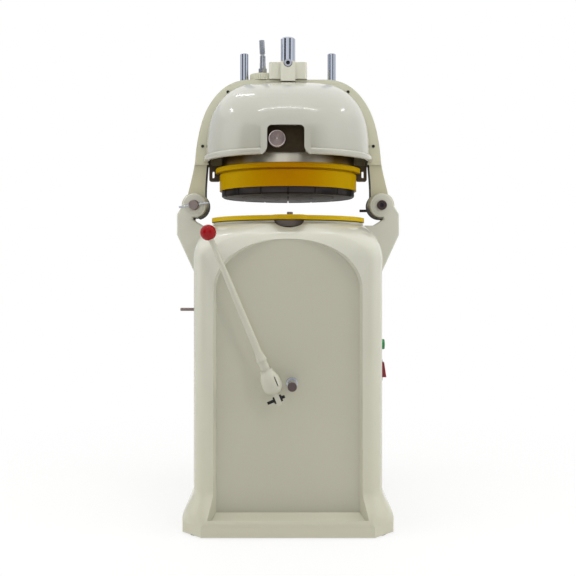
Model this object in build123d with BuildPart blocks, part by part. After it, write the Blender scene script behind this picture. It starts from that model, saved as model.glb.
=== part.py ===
# Dough divider rounder: a cabinet with an orbiting table, and a tilting head that presses and cuts.
# Millimetres. Origin on the floor under the table's axis, +Z up, the front of the machine towards -Y.

import os
from math import cos, radians, sin, sqrt

from build123d import *

os.makedirs("parts", exist_ok=True)

# Clearances
run_gap = 0.05          # radial gap of a shaft that turns or slides in its bore
edge_break = 1.0        # small chamfer on turned ends
free_gap = 0.5          # gap between faces that pass each other
belt_gap = 0.3          # gap between the belt and its grooves

# Cabinet levels
foot_h = 3.0
rim_h = 26.0
flare_h = 81.0
sides_h = 620.0
shoulder_h = 106.0
neck_h = 5.0
base_z = foot_h
rim_z = base_z + rim_h
sides_z = rim_z + flare_h
shoulder_z = sides_z + sides_h
neck_z = shoulder_z + shoulder_h + neck_h

# Cabinet plan
body_w = 510.0
body_front = 272.0      # axis to the front face
body_rear = 322.0       # axis to the rear face
corner_r = 45.0
neck_r = 223.0
neck_flat = 0.5         # short flats that keep the neck's section like the sides'
wall = 8.0
rim_out = 28.5
rim_chamfer = 55.0
flare_round_h = 8.0    # half height of the bend between the flare and the sides
shoulder_power = 2.4    # upright at the sides, then a slope in to the neck
shoulder_steps = (0, 0.35, 0.6, 0.8, 0.92, 1)
side_x = body_w / 2
body_mid = (body_rear - body_front) / 2
body_d = body_front + body_rear

# Feet and base plate
foot_r = 20.0
foot_inset = 13.0       # foot centre inside the cabinet's side faces
foot_setback = 18.0     # foot centre inside the front and rear faces
base_plate_t = 10.0

# Recessed arched front panel with bevelled sides and a sloped sill
panel_half = 192.0
panel_depth = 14.0
panel_bevel = 20.0      # how far the bevel widens from the panel to the rim's front
sill_rise = 29.0
sill_edge = 2.0         # sill's outer edge above the rim
arch_drop = 77.0        # springing line below the shoulder
arch_rise = 136.0
panel_y = body_front - panel_depth
arch_z = shoulder_z - arch_drop

# Finger notch in the neck
notch_x = 3.0
notch_half = 40.5
notch_depth = 20.0

# Rear service opening and its louvred panel
rear_open_w = 360.0
rear_open_h = 480.0
rear_open_z = 412.0     # centre height
rear_lap = 20.0
rear_panel_t = 4.0
louvre_count = 9
louvre_w = 220.0
louvre_h = 8.0
louvre_pitch = 22.0
rear_screw_r = 3.0
rear_screw_head_r = 6.0
rear_screw_head_t = 3.0

# Head hinge: axes run from front to back, one above each arm
hinge_x = 272.5
hinge_rise = 52.0
hinge_z = neck_z + hinge_rise
ear_r = 35.0
ear_t = 20.0
ear_boss_r = 26.0
ear_boss_t = 1.5
yoke_t = 59.0
yoke_half_t = yoke_t / 2
boss_r = 39.5
saddle_gap = 4.5        # below the yoke's boss
ear_in = yoke_half_t + free_gap
ear_out = ear_in + ear_t
boss_front = ear_out + ear_boss_t

# Arms on the cabinet's sides
arm_reach = 51.0        # outer face beyond the hinge axis
arm_ear_z = 25.0        # top of the outer face below the hinge axis
arm_elbow_z = 86.0      # bottom of the outer face below the hinge axis
arm_foot_z = 235.0
arm_root = 40.0         # how far the outline starts inside the cabinet
arm_cheek_z = 41.0      # inner edge of the ear's neck below the axis
arm_cheek_x = 5.5
arm_shoulder_z = 59.0
arm_shoulder_x = 23.5
arm_corner_r = 12.0
arm_edge = 3.0
arm_bolt_r = 6.0
arm_bolt_head_r = 10.0
arm_bolt_head_t = 8.0
arm_bolt_depth = 8.0
arm_bolt_y = 30.0
arm_bolt_drops = (140.0, 168.0)

# Right hinge pin, washer and stop bolt
pin_r = 10.0
pin_head_r = 14.0
pin_head_t = 9.0
pin_socket = 12.0
pin_socket_depth = 6.0
washer_r = 19.0
washer_t = 2.0
stop_bolt_r = 4.0
stop_bolt_out = 22.0
stop_bolt_in = 20.0
stop_bolt_drop = 11.0

# Left lock screw and tommy bar
lock_r = 8.0
lock_head_r = 14.5
lock_head_t = 22.0
lock_slot_gap = 2.0
tommy_r = 3.0
tommy_l = 87.0
tommy_tilt = 8.6
tommy_y = boss_front + 13.0

# Head yoke
crown_rise = 370.0      # crown above the hinge axis
crown_half = 110.0
crown_t = 56.0
under_half = 80.0
crown_z = hinge_z + crown_rise
under_z = crown_z - crown_t
outer_shape = ((0.597, 0.886), (0.855, 0.695), (0.99, 0.41), (1.125, 0.10))
inner_shape = ((0.847, 0.118), (0.821, 0.373), (0.738, 0.691), (0.416, 0.946))
leg_root = 12.0         # leg sides end this far above the hinge axis, inside the boss
yoke_edge_r = 3.0

# Moulded covers on the yoke
parting_rise = 119.0    # parting line above the hinge axis
flange_t = 4.5
flange_inset = 1.0
flange_lip = 2.0        # flange inside the hood's inner face
hood_rise = 125.0       # hood's lower edge above the hinge axis
hood_h = 232.0
hood_half = 239.0
hood_depth = 217.0
hood_top_half = 110.0
hood_top_depth = 8.0
hood_power = 3
hood_root = 0.625
hood_steps = (0, 0.3, 0.55, 0.75, 0.88, 0.96, 1)
hood_wall = 4.0
bead_h = 18.0
bead_out = 8.0
bead_round = 7.5
window_x = -6.0
window_half = 50.0
window_rise = 203.0     # window's top above the hinge axis
window_corner_r = 12.0
window_flare_r = 24.0
window_flare_drop = 2.0 # flare ends this far below the hood's edge
flange_y = yoke_half_t + flange_t
cover_screw_r = 2.5
cover_screw_head_r = 4.5
cover_screw_head_t = 2.5
cover_screw_depth = 12.0
cover_screw_rises = ((176.0, 333.0), (250.0, 174.0))  # across, and above the hinge axis
cover_screw_places = [(across, hinge_z + rise) for across, rise in cover_screw_rises]
parting_z = hinge_z + parting_rise
hood_z = hinge_z + hood_rise
window_top_z = hinge_z + window_rise

# Spindle block with its clamp screw
block_w = 112.0
block_d = 84.0
block_corner_r = 10.0
block_pad_w = 43.0
block_pad_out = 15.0
block_h = 49.0
block_skirt = 9.0
block_top_z = crown_z + block_h
clamp_head_r = 11.0
clamp_head_t = 10.0
clamp_r = 6.0
clamp_relief = 2.0
clamp_drop = 5.0        # screw's axis below the block's top
clamp_y = block_d / 2 + block_pad_out
clamp_z = block_top_z - clamp_drop

# Press unit
stroke = 80.0
spindle_r = 22.0
spindle_rise = 499.0    # spindle's top above the hinge axis
spindle_chamfer = 4.0
piston_r = 38.0
piston_t = 22.0
piston_gap = 2.0
cylinder_end_t = 10.0
cylinder_wall = 10.0
cylinder_flange_r = 68.0
cylinder_flange_t = 14.0
post_x = 129.5
post_r = 12.5
post_rise = 452.0
cylinder_h = stroke + piston_t + 2 * (piston_gap + cylinder_end_t)
cylinder_z = under_z - cylinder_h
cylinder_r = piston_r + cylinder_wall
spindle_top_z = hinge_z + spindle_rise
post_top_z = hinge_z + post_rise

# Carrier, casing ring and hangers
table_gap = 2.0         # rounding plate above the neck
plate_t = 12.0
ring_gap = 1.0          # casing ring above the plate at the end of the stroke
ring_h = 51.0
ring_in = 196.0
ring_wall = 6.0
ring_flange_r = 214.0
ring_flange_t = 14.0
ring_round = 3.0
ring_groove_h = 5.0
ring_groove_depth = 3.0
carrier_t = 12.0
carrier_rim_t = 8.0
carrier_rim_h = 39.0
carrier_hub_r = 36.0
carrier_hub_h = 30.0
hanger_x = 233.0
hanger_w = 16.0
hanger_low = 21.0       # below the flange's underside
hanger_tab = 11.0       # above the carrier's underside
hanger_slot_w = 7.0
hanger_slot_h = 20.0
hanger_slot_x = 221.0
hanger_slot_drop = 1.0
hanger_round = 6.0
table_z = neck_z + table_gap
plate_z = table_z + plate_t
ring_z = plate_z + stroke + ring_gap
ring_out = ring_in + ring_wall
flange_z = ring_z + ring_h
carrier_z = flange_z + ring_flange_t

# Knives and press segments: an inner, a middle and an outer ring of pieces of equal area
ring_counts = (4, 10, 16)
knife_t = 2.0
segment_gap = 0.3
segment_t = 20.0
segment_drop = 18.0     # segments below the casing ring at rest
segment_round = 4.0     # outer lower edge of the segments
stem_r = 7.0
stem_gap = 0.3
stem_in_r = 52.0
spider_gap = 35.0       # spider above the carrier's underside
spider_t = 10.0
spider_r = 178.0
piece_total = sum(ring_counts)
knife_r1 = ring_in * sqrt(ring_counts[0] / piece_total)
knife_r2 = ring_in * sqrt((ring_counts[0] + ring_counts[1]) / piece_total)
segment_r = ring_in - segment_gap
segment_z = ring_z - segment_drop
spider_z = carrier_z + spider_gap
stem_rings = (
    (stem_in_r, ring_counts[0]),
    ((knife_r1 + knife_r2) / 2, ring_counts[1]),
    ((knife_r2 + segment_r) / 2, ring_counts[2]),
)
knife_rings = (
    (0.0, knife_r1, ring_counts[0]),
    (knife_r1, knife_r2, ring_counts[1]),
    (knife_r2, segment_r, ring_counts[2]),
)

# Window knob and its bracket
knob_x = -29.4
knob_rise = 166.0       # knob above the hinge axis
knob_r = 22.5
knob_t = 33.0
knob_front = 255.0
knob_chamfer = 2.0
knob_stem_r = 7.0
knob_stem_l = 34.0
bracket_gap = 10.0      # behind the knob
bracket_t = 12.0
bracket_w = 108.0       # covers the window's width
bracket_low = 31.0
bracket_arm_w = 40.0
bracket_arm_rise = 211.0
knob_z = hinge_z + knob_rise
bracket_arm_z = hinge_z + bracket_arm_rise

# Adjuster on the crown
adjuster_x = -75.0
adjuster_boss_r = 27.5
dial_r = 38.0
dial_ribs = 44
dial_rib_r = 1.5
adjuster_boss_h = 19.0
adjuster_r = 8.0
adjuster_in = 60.0
adjuster_collar_h = 17.0
adjuster_collar_flats = 24.0
adjuster_collar_gap = 1.0
fork_r = 9.0
fork_h = 38.0
fork_slot_w = 8.0
fork_slot_h = 20.0
fork_pin_r = 2.5
fork_pin_drop = 8.0
handle_r = 8.0
handle_neck = 15.0
handle_l = 40.0
handle_lean = 3.0
handle_tongue_gap = 0.5
handle_eye_r = 6.0
knurl_count = 24
knurl_depth = 0.6
adjuster_z = crown_z + adjuster_boss_h
collar_z = adjuster_z + adjuster_collar_gap
fork_z = collar_z + adjuster_collar_h
fork_pin_z = fork_z + fork_h - fork_pin_drop

# Table, rounding plate and stud
eccentric = 12.0
plate_r = 224.0
lip_out = 22.0
lip_root_half = 55.0
lip_flat_half = 22.5
stud_r = 8.0
stud_h = 7.0
stud_x = 5.0
stud_out = 9.0
table_r = 195.0
table_t = 18.0
table_hub_r = 40.0
table_hub_h = 42.0
table_boss_r = 24.0
table_boss_h = 35.0
bore_cap = 10.0         # metal left over each bore under the table's top
table_low = table_z - table_t
table_y = -eccentric

# Drive deck, crank and idlers
deck_t = 12.0
ledge_w = 18.0
ledge_h = 15.0
ledge_l = 340.0
shaft_r = 20.0
shaft_low = 104.0       # shaft end below the deck
housing_r = 45.0
housing_h = 90.0
housing_flange_r = 80.0
housing_flange_t = 10.0
pulley_r = 95.0
pulley_t = 28.0
pulley_gap = 10.0       # pulleys above the deck
web_gap = 6.0
web_t = 20.0
web_r = 48.0
weight_r = 85.0
crank_pin_r = 15.0
hub_gap = 7.0
idler_x = 150.0
idler_r = 12.0
idler_housing_r = 30.0
idler_web_r = 26.0
idler_web_t = 14.0
idler_web_gap = 2.0
idler_boss_gap = 4.0    # idler webs below the table's bosses
idler_pin_r = 10.0
hub_z = table_low - table_hub_h
web_z = hub_z - hub_gap - web_t
pulley_z = web_z - web_gap - pulley_t
deck_top = pulley_z - pulley_gap
deck_z = deck_top - deck_t
idler_web_z = table_low - table_boss_h - idler_boss_gap - idler_web_t
idler_housing_h = idler_web_z - idler_web_gap - deck_top

# Motor and belt
motor_y = 170.0
motor_r = 64.0
motor_h = 210.0
motor_flange_r = 80.0
motor_flange_t = 10.0
fin_r = 70.0
fin_t = 6.0
fin_count = 8
motor_shaft_r = 12.0
motor_shaft_in = 40.0
motor_pulley_r = 32.0
groove_depth = 8.0
groove_w = 12.0
belt_w = 11.0
belt_t = 7.0

# Hydraulics
tank_w = 300.0
tank_d = 180.0
tank_h = 150.0
tank_wall = 4.0
tank_y = 190.0
pump_lid_t = 6.0
pump_r = 55.0
pump_h = 120.0
pump_block = 70.0
pump_block_h = 45.0
valve_w = 90.0
valve_d = 60.0
valve_boss_out = 4.0    # boss in front of the panel

# Lever on the front panel
lever_x = -44.0
lever_z = 414.0
lever_y = 330.0
lever_lean = 22.7
lever_l = 422.0
lever_shaft_r = 10.0
lever_hub_r = 26.0
lever_hub_low = 30.0
lever_hub_round = 20.0
lever_neck_r = 12.0
lever_skirt_r = 14.5
lever_collar_r = 17.0
lever_collar_t = 5.0
lever_socket = 62.0     # pivot to the top of the hub's socket
lever_collar_u = 30.0
lever_trumpet = 26.0
lever_root_r = 9.5
lever_tip_r = 7.0
lever_boss_r = 18.0
lever_boss_gap = 1.0    # between the lever's boss and the valve's
rod_in = 4.0            # rod's end inside the ball
ball_r = 21.0
slit_w = 2.5
slit_l = 26.0
slit_off = 15.0
tongue_w = 13.0
tongue_t = 16.0
tongue_end = 62.0
adjust_r = 4.0
adjust_u = 46.0
adjust_left = 29.0
adjust_right = 19.5
adjust_nut_r = 8.0
adjust_nut_t = 5.0

# Stop post
stop_x = 11.0
stop_z = 404.0
stop_r = 11.5
stop_front = 333.0
stop_base_r = 15.0
stop_base_t = 4.0
buffer_r = 12.0
buffer_t = 7.0

# Side peg, start button, main switch and cable gland
peg_y = -205.0
peg_z = 598.0
peg_r = 4.3
peg_out = 39.0
peg_in = 25.0
control_y = -205.0
button_z = 503.0
button_r = 14.0
button_out = 8.5
button_travel = 3.0
button_stem_r = 6.0
button_stem_l = 30.0
button_gap = 0.3
bezel_r = 17.0
bezel_lip = 1.5
bezel_barrel_r = 16.5
bezel_l = 38.0
bezel_pocket = 5.5
switch_z = 434.0
switch_w = 28.0
switch_h = 58.0
switch_lip = 2.0
switch_body_w = 24.0
switch_body_h = 53.0
switch_body_d = 30.0
switch_wall = 2.0
switch_pivot_in = 7.0
switch_pin_r = 2.0
rocker_half = 20.5
rocker_top_out = 7.0
rocker_low_out = 13.0
rocker_back = 4.0
gland_inset = 30.0      # inside the rear opening's side
gland_z = 135.0
gland_r = 10.0
gland_hex = 28.0
gland_hex_t = 8.0
gland_dome_l = 18.0
gland_bore_r = 5.0
gland_in = 14.0
gland_x = gland_inset - rear_open_w / 2


def up(x, y, z):
    return Plane((x, y, z))


def forward(x, y, z):
    return Plane((x, y, z), x_dir=(1, 0, 0), z_dir=(0, -1, 0))


def rightward(x, y, z):
    return Plane((x, y, z), x_dir=(0, 1, 0), z_dir=(1, 0, 0))


# Round bar of one radius that rises from a plane
def bar(plane, radius, length, mode=Mode.ADD):
    with BuildSketch(plane) as section:
        Circle(radius)
    extrude(section.sketch, amount=length, mode=mode)


# Tube that rises from a plane
def tube(plane, outer, inner, length):
    with BuildSketch(plane) as section:
        Circle(outer)
        Circle(inner, mode=Mode.SUBTRACT)
    extrude(section.sketch, amount=length)


# Rectangular block that rises from a plane
def block(plane, width, height, depth, mode=Mode.ADD):
    with BuildSketch(plane) as section:
        Rectangle(width, height)
    extrude(section.sketch, amount=depth, mode=mode)


# Prism with flats that rises from a plane
def flats(plane, across, count, length, mode=Mode.ADD):
    with BuildSketch(plane) as section:
        RegularPolygon(across / 2, count, major_radius=False, rotation=180 / count)
    extrude(section.sketch, amount=length, mode=mode)


def body_section(z, half_w, front, rear, corner):
    with BuildSketch(up(0, (rear - front) / 2, z)) as section:
        RectangleRounded(2 * half_w, front + rear, corner)
    return section.sketch


# Cabinet form: straight sides that close in over the shoulder to a round neck
def body_form(inset, bottom, mode):
    sides = body_section(bottom, side_x - inset, body_front - inset, body_rear - inset, corner_r - inset)
    extrude(sides, amount=shoulder_z - bottom, mode=mode)
    sections = []
    for step in shoulder_steps:
        full = 1 - step**shoulder_power
        half_w = neck_r + (side_x - neck_r) * full - inset
        front = neck_r + (body_front - neck_r) * full - inset
        rear = neck_r + (body_rear - neck_r) * full - inset
        corner = (neck_r - neck_flat) + (corner_r - neck_r + neck_flat) * full - inset
        sections.append(body_section(shoulder_z + step * shoulder_h, half_w, front, rear, corner))
    loft(sections, mode=mode)
    extrude(sections[-1], amount=neck_h, mode=mode)


def octagon(plane, width, depth, cut):
    with BuildSketch(plane) as section:
        Rectangle(width, depth)
        chamfer(section.vertices(), cut)
    return section.sketch


# Arched outline of the front panel
def arch(y, half, bottom, rise):
    with BuildSketch(forward(0, -y, 0)) as section:
        with BuildLine():
            Line((half, arch_z), (half, bottom))
            Line((half, bottom), (-half, bottom))
            Line((-half, bottom), (-half, arch_z))
            EllipticalCenterArc((0, arch_z), half, rise, start_angle=0, arc_size=180)
        make_face()
    return section.sketch


feet_places = [
    (across * (side_x - foot_inset), along)
    for across in (-1, 1)
    for along in (foot_setback - body_front, body_rear - foot_setback)
]
rear_screw_places = [
    (across * (rear_open_w + rear_lap) / 2, rear_open_z + along * (rear_open_h + rear_lap) / 2)
    for across in (-1, 1)
    for along in (-1, 0, 1)
]
arm_bolt_places = [
    (side, along * arm_bolt_y, hinge_z - drop)
    for side in (-1, 1)
    for along in (-1, 1)
    for drop in arm_bolt_drops
]

# Hollow of the cabinet, which leaves a wall behind the recessed panel
with BuildPart() as cabinet_void:
    body_form(wall, base_z, Mode.ADD)
    pad = arch(panel_y - wall, panel_half + wall, rim_z, arch_rise + wall)
    extrude(pad, amount=panel_depth + wall, mode=Mode.SUBTRACT)

# Cabinet shell: rim, flare, sides, shoulder and neck in one casting
with BuildPart() as cabinet_shell:
    rim_w = body_w + 2 * rim_out
    rim_d = body_d + 2 * rim_out
    rim = octagon(up(0, body_mid, base_z), rim_w, rim_d, rim_chamfer)
    extrude(rim, amount=rim_h)
    bend_out = rim_out * flare_round_h / flare_h
    flare = [octagon(up(0, body_mid, rim_z), rim_w, rim_d, rim_chamfer)]
    for level, out in ((-flare_round_h, bend_out), (0, bend_out / 4), (flare_round_h, 0)):
        flare.append(
            body_section(
                sides_z + level, side_x + out, body_front + out, body_rear + out, corner_r + out
            )
        )
    loft(flare)
    body_form(0, sides_z + flare_round_h, Mode.ADD)
    add(cabinet_void.part, mode=Mode.SUBTRACT)
    panel = arch(panel_y, panel_half, rim_z + sill_rise, arch_rise)
    edge_y = body_front + rim_out
    opening = arch(edge_y, panel_half + panel_bevel, rim_z + sill_edge, arch_rise + panel_bevel)
    loft([panel, opening], ruled=True, mode=Mode.SUBTRACT)
    for side in (-1, 1):
        block(
            up(side * (side_x - wall - ledge_w / 2), body_mid, deck_z - ledge_h),
            ledge_w,
            ledge_l,
            ledge_h,
        )
    with BuildSketch(forward(notch_x, wall - neck_r, neck_z)) as half_moon:
        Ellipse(notch_half, notch_depth)
    extrude(half_moon.sketch, amount=neck_r / 4, both=True, mode=Mode.SUBTRACT)
    block(forward(0, body_rear, rear_open_z), rear_open_w, rear_open_h, wall, Mode.SUBTRACT)
    for place_x, place_z in rear_screw_places:
        bar(forward(place_x, body_rear, place_z), rear_screw_r, wall, Mode.SUBTRACT)
    bar(forward(gland_x, body_rear, gland_z), gland_r, wall, Mode.SUBTRACT)
    bar(forward(lever_x, wall - panel_y, lever_z), lever_boss_r, wall, Mode.SUBTRACT)
    bar(rightward(-side_x, peg_y, peg_z), peg_r, wall, Mode.SUBTRACT)
    bar(rightward(side_x - wall, control_y, button_z), bezel_barrel_r, wall, Mode.SUBTRACT)
    switch_plane = rightward(side_x - wall, control_y, switch_z)
    block(switch_plane, switch_body_w, switch_body_h, wall, Mode.SUBTRACT)
    for side, place_y, place_z in arm_bolt_places:
        inner = side * (side_x - wall)
        seat = rightward(inner, place_y, place_z)
        bar(seat, arm_bolt_r, side * (wall + arm_bolt_depth), Mode.SUBTRACT)
        bar(seat, arm_bolt_head_r + free_gap, -side * arm_bolt_head_t, Mode.SUBTRACT)
cabinet_shell.part.label = "cabinet_shell"
export_step(cabinet_shell.part, "parts/cabinet_shell.step")

# Base plate that closes the cabinet's underside
with BuildPart() as base_plate:
    plate_inset = wall + free_gap
    floor_section = body_section(
        base_z,
        side_x - plate_inset,
        body_front - plate_inset,
        body_rear - plate_inset,
        corner_r - plate_inset,
    )
    extrude(floor_section, amount=base_plate_t)
base_plate.part.label = "base_plate"
export_step(base_plate.part, "parts/base_plate.step")

# Four rubber feet under the rim
with BuildPart() as feet:
    for place_x, place_y in feet_places:
        bar(up(place_x, place_y, 0), foot_r, foot_h)
feet.part.label = "feet"
export_step(feet.part, "parts/feet.step")

# Louvred panel over the rear service opening
with BuildPart() as rear_panel:
    panel_w = rear_open_w + 2 * rear_lap
    panel_h = rear_open_h + 2 * rear_lap
    block(forward(0, body_rear + rear_panel_t, rear_open_z), panel_w, panel_h, rear_panel_t)
    for row in range(louvre_count):
        slot_z = rear_open_z + (row - (louvre_count - 1) / 2) * louvre_pitch
        with BuildSketch(forward(0, body_rear + rear_panel_t, slot_z)) as slot:
            SlotOverall(louvre_w, louvre_h)
        extrude(slot.sketch, amount=rear_panel_t, mode=Mode.SUBTRACT)
    for place_x, place_z in rear_screw_places:
        hole = forward(place_x, body_rear + rear_panel_t, place_z)
        bar(hole, rear_screw_r, rear_panel_t, Mode.SUBTRACT)
rear_panel.part.label = "rear_panel"
export_step(rear_panel.part, "parts/rear_panel.step")

# Screws of the rear panel
with BuildPart() as rear_panel_screws:
    for place_x, place_z in rear_screw_places:
        head_y = body_rear + rear_panel_t + rear_screw_head_t
        bar(forward(place_x, head_y, place_z), rear_screw_head_r, rear_screw_head_t)
        bar(forward(place_x, head_y, place_z), rear_screw_r, rear_screw_head_t + rear_panel_t + wall)
rear_panel_screws.part.label = "rear_panel_screws"
export_step(rear_panel_screws.part, "parts/rear_panel_screws.step")


# Outer form of the cabinet above its flare, which the arms are cut to
with BuildPart() as cabinet_form:
    body_form(0, sides_z, Mode.ADD)


# Clevis arm: an outline in front view, rounded at its edges, slotted for the yoke and cut to the cabinet
def cast_arm(side, hole_r):
    outline_points = [
        (side_x - arm_root, hinge_z - arm_foot_z),
        (side_x, hinge_z - arm_foot_z),
        (hinge_x + arm_reach, hinge_z - arm_elbow_z),
        (hinge_x + arm_reach, hinge_z - arm_ear_z),
        (hinge_x + ear_r, hinge_z),
        (hinge_x, hinge_z),
        (hinge_x + arm_cheek_x, hinge_z - arm_cheek_z),
        (hinge_x - arm_shoulder_x, hinge_z - arm_shoulder_z),
        (side_x - arm_root, hinge_z - arm_shoulder_z),
    ]
    with BuildSketch(forward(0, 0, 0)) as outline:
        with BuildLine():
            Polyline([(side * x, z) for x, z in outline_points], close=True)
        make_face()
        outer = outline.vertices().sort_by(Axis.X)
        fillet(outer[-2:] if side > 0 else outer[:2], arm_corner_r)
        with Locations((side * hinge_x, hinge_z)):
            Circle(ear_r)
    extrude(outline.sketch, amount=ear_out, both=True)
    chamfer(faces().sort_by(Axis.Y)[0].edges(), arm_edge)
    chamfer(faces().sort_by(Axis.Y)[-1].edges(), arm_edge)
    bar(forward(side * hinge_x, -ear_out, hinge_z), ear_boss_r, ear_boss_t)
    saddle_z = hinge_z - boss_r - saddle_gap
    block(up(side * hinge_x, 0, saddle_z), 4 * ear_r, 2 * ear_in, 3 * ear_r, Mode.SUBTRACT)
    add(cabinet_form.part, mode=Mode.SUBTRACT)
    bar(forward(side * hinge_x, ear_out, hinge_z), hole_r, ear_out + boss_front, Mode.SUBTRACT)
    for bolt_side, place_y, place_z in arm_bolt_places:
        if bolt_side == side:
            inner = rightward(side * (side_x - wall), place_y, place_z)
            bar(inner, arm_bolt_r, side * (wall + arm_bolt_depth), Mode.SUBTRACT)


with BuildPart() as left_arm:
    cast_arm(-1, lock_r + run_gap)
left_arm.part.label = "left_arm"
export_step(left_arm.part, "parts/left_arm.step")

with BuildPart() as right_arm:
    cast_arm(1, pin_r)
    stop_seat = rightward(hinge_x - ear_r, (ear_in + ear_out) / 2, hinge_z - stop_bolt_drop)
    bar(stop_seat, stop_bolt_r, stop_bolt_in, Mode.SUBTRACT)
right_arm.part.label = "right_arm"
export_step(right_arm.part, "parts/right_arm.step")

# Bolts that hold the arms from inside the cabinet
with BuildPart() as arm_bolts:
    for side, place_y, place_z in arm_bolt_places:
        inner = side * (side_x - wall - arm_bolt_head_t)
        seat = rightward(inner, place_y, place_z)
        bar(seat, arm_bolt_head_r, side * arm_bolt_head_t)
        bar(seat, arm_bolt_r, side * (arm_bolt_head_t + wall + arm_bolt_depth))
arm_bolts.part.label = "arm_bolts"
export_step(arm_bolts.part, "parts/arm_bolts.step")

# Hinge pin with a socket head
with BuildPart() as hinge_pin:
    head_y = boss_front + washer_t + pin_head_t
    bar(forward(hinge_x, ear_out, hinge_z), pin_r, ear_out + head_y)
    bar(forward(hinge_x, -boss_front - washer_t, hinge_z), pin_head_r, pin_head_t)
    socket_plane = forward(hinge_x, pin_socket_depth - head_y, hinge_z)
    flats(socket_plane, pin_socket, 6, pin_socket_depth, Mode.SUBTRACT)
hinge_pin.part.label = "hinge_pin"
export_step(hinge_pin.part, "parts/hinge_pin.step")

with BuildPart() as hinge_washer:
    tube(forward(hinge_x, -boss_front, hinge_z), washer_r, pin_r, washer_t)
hinge_washer.part.label = "hinge_washer"
export_step(hinge_washer.part, "parts/hinge_washer.step")

# Stop bolt in the right arm's rear ear
with BuildPart() as hinge_stop_bolt:
    stop_start = rightward(
        hinge_x - ear_r - stop_bolt_out, (ear_in + ear_out) / 2, hinge_z - stop_bolt_drop
    )
    bar(stop_start, stop_bolt_r, stop_bolt_out + stop_bolt_in)
hinge_stop_bolt.part.label = "hinge_stop_bolt"
export_step(hinge_stop_bolt.part, "parts/hinge_stop_bolt.step")

# Lock screw with a cross hole in its head
tommy_turn = radians(tommy_tilt)
tommy_axis = (cos(tommy_turn), 0, sin(tommy_turn))


def tommy_plane(length):
    start = (
        -hinge_x - length / 2 * tommy_axis[0],
        -tommy_y,
        hinge_z - length / 2 * tommy_axis[2],
    )
    return Plane(start, x_dir=(0, 1, 0), z_dir=tommy_axis)


with BuildPart() as lock_screw:
    bar(forward(-hinge_x, ear_out, hinge_z), lock_r, ear_out + boss_front)
    bar(forward(-hinge_x, -boss_front, hinge_z), lock_head_r, lock_head_t)
    chamfer(faces().sort_by(Axis.Y)[0].edges(), knob_chamfer)
    bar(tommy_plane(tommy_l), tommy_r + run_gap, tommy_l, Mode.SUBTRACT)
lock_screw.part.label = "lock_screw"
export_step(lock_screw.part, "parts/lock_screw.step")

with BuildPart() as tommy_bar:
    bar(tommy_plane(tommy_l), tommy_r, tommy_l)
    chamfer(edges().filter_by(GeomType.CIRCLE), tommy_r / 4)
tommy_bar.part.label = "tommy_bar"
export_step(tommy_bar.part, "parts/tommy_bar.step")


def outer_points(inset):
    return [
        (
            crown_half + (hinge_x - crown_half) * across - inset,
            hinge_z + (crown_z - inset - hinge_z) * rise,
        )
        for across, rise in outer_shape
    ]


inner_points = [
    (under_half + (hinge_x - under_half) * across, hinge_z + (under_z - hinge_z) * rise)
    for across, rise in inner_shape
]

# Head yoke: a cast arch whose legs end in hinge bosses
with BuildPart() as head_yoke:
    leg_z = hinge_z + leg_root
    outer_right = outer_points(0)
    leg_out = (outer_right[-1][0], leg_z)
    leg_in = (inner_points[0][0], leg_z)
    with BuildSketch(forward(0, 0, 0)) as yoke_outline:
        with BuildLine():
            Line((0, crown_z), (crown_half, crown_z))
            Spline((crown_half, crown_z), *outer_right, tangents=((1, 0), (0.25, -1)))
            Line(outer_right[-1], leg_out)
            Line(leg_out, leg_in)
            Line(leg_in, inner_points[0])
            Spline(*inner_points, (under_half, under_z), tangents=((0, 1), (-1, 0)))
            Line((under_half, under_z), (0, under_z))
            mirror(about=Plane.YZ)
        make_face()
        with Locations((-hinge_x, hinge_z), (hinge_x, hinge_z)):
            Circle(boss_r)
    extrude(yoke_outline.sketch, amount=yoke_half_t, both=True)
    boss_low = crown_z - crown_t / 2
    bar(up(adjuster_x, 0, boss_low), adjuster_boss_r, adjuster_z - boss_low)
    with BuildSketch(up(adjuster_x, 0, crown_z)) as dial:
        Circle(dial_r)
        with PolarLocations(dial_r, dial_ribs):
            Circle(dial_rib_r, mode=Mode.SUBTRACT)
    extrude(dial.sketch, amount=adjuster_boss_h)
    block(up(0, 0, crown_z), block_w + 2 * free_gap, block_d + 2 * free_gap, block_h, Mode.SUBTRACT)
    bar(forward(hinge_x, yoke_half_t, hinge_z), pin_r + run_gap, yoke_t, Mode.SUBTRACT)
    lock_slot = lock_r + lock_slot_gap
    bar(forward(-hinge_x, yoke_half_t, hinge_z), lock_slot, yoke_t, Mode.SUBTRACT)
    block(up(-hinge_x, 0, hinge_z), 2 * lock_slot, yoke_t, -2 * boss_r, Mode.SUBTRACT)
    bar(up(0, 0, under_z), spindle_r + free_gap, crown_t, Mode.SUBTRACT)
    for side in (-1, 1):
        guide = up(side * post_x, 0, inner_points[2][1])
        bar(guide, post_r + run_gap, crown_z - inner_points[2][1] + crown_t, Mode.SUBTRACT)
        for place_x, place_z in cover_screw_places:
            screw_axis = forward(side * place_x, yoke_half_t, place_z)
            bar(screw_axis, cover_screw_r, yoke_t, Mode.SUBTRACT)
    bar(up(adjuster_x, 0, under_z), adjuster_r + run_gap, adjuster_z - under_z, Mode.SUBTRACT)
head_yoke.part.label = "head_yoke"
export_step(head_yoke.part, "parts/head_yoke.step")


# Size of the hood at a step of its height
def hood_size(step, inset):
    full = (1 - step**hood_power) ** hood_root
    half = hood_top_half + (hood_half - hood_top_half) * full - inset
    depth = hood_top_depth + (hood_depth - hood_top_depth) * full - inset
    return half, depth, hood_z + step * (hood_h - max(inset, 0))


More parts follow.
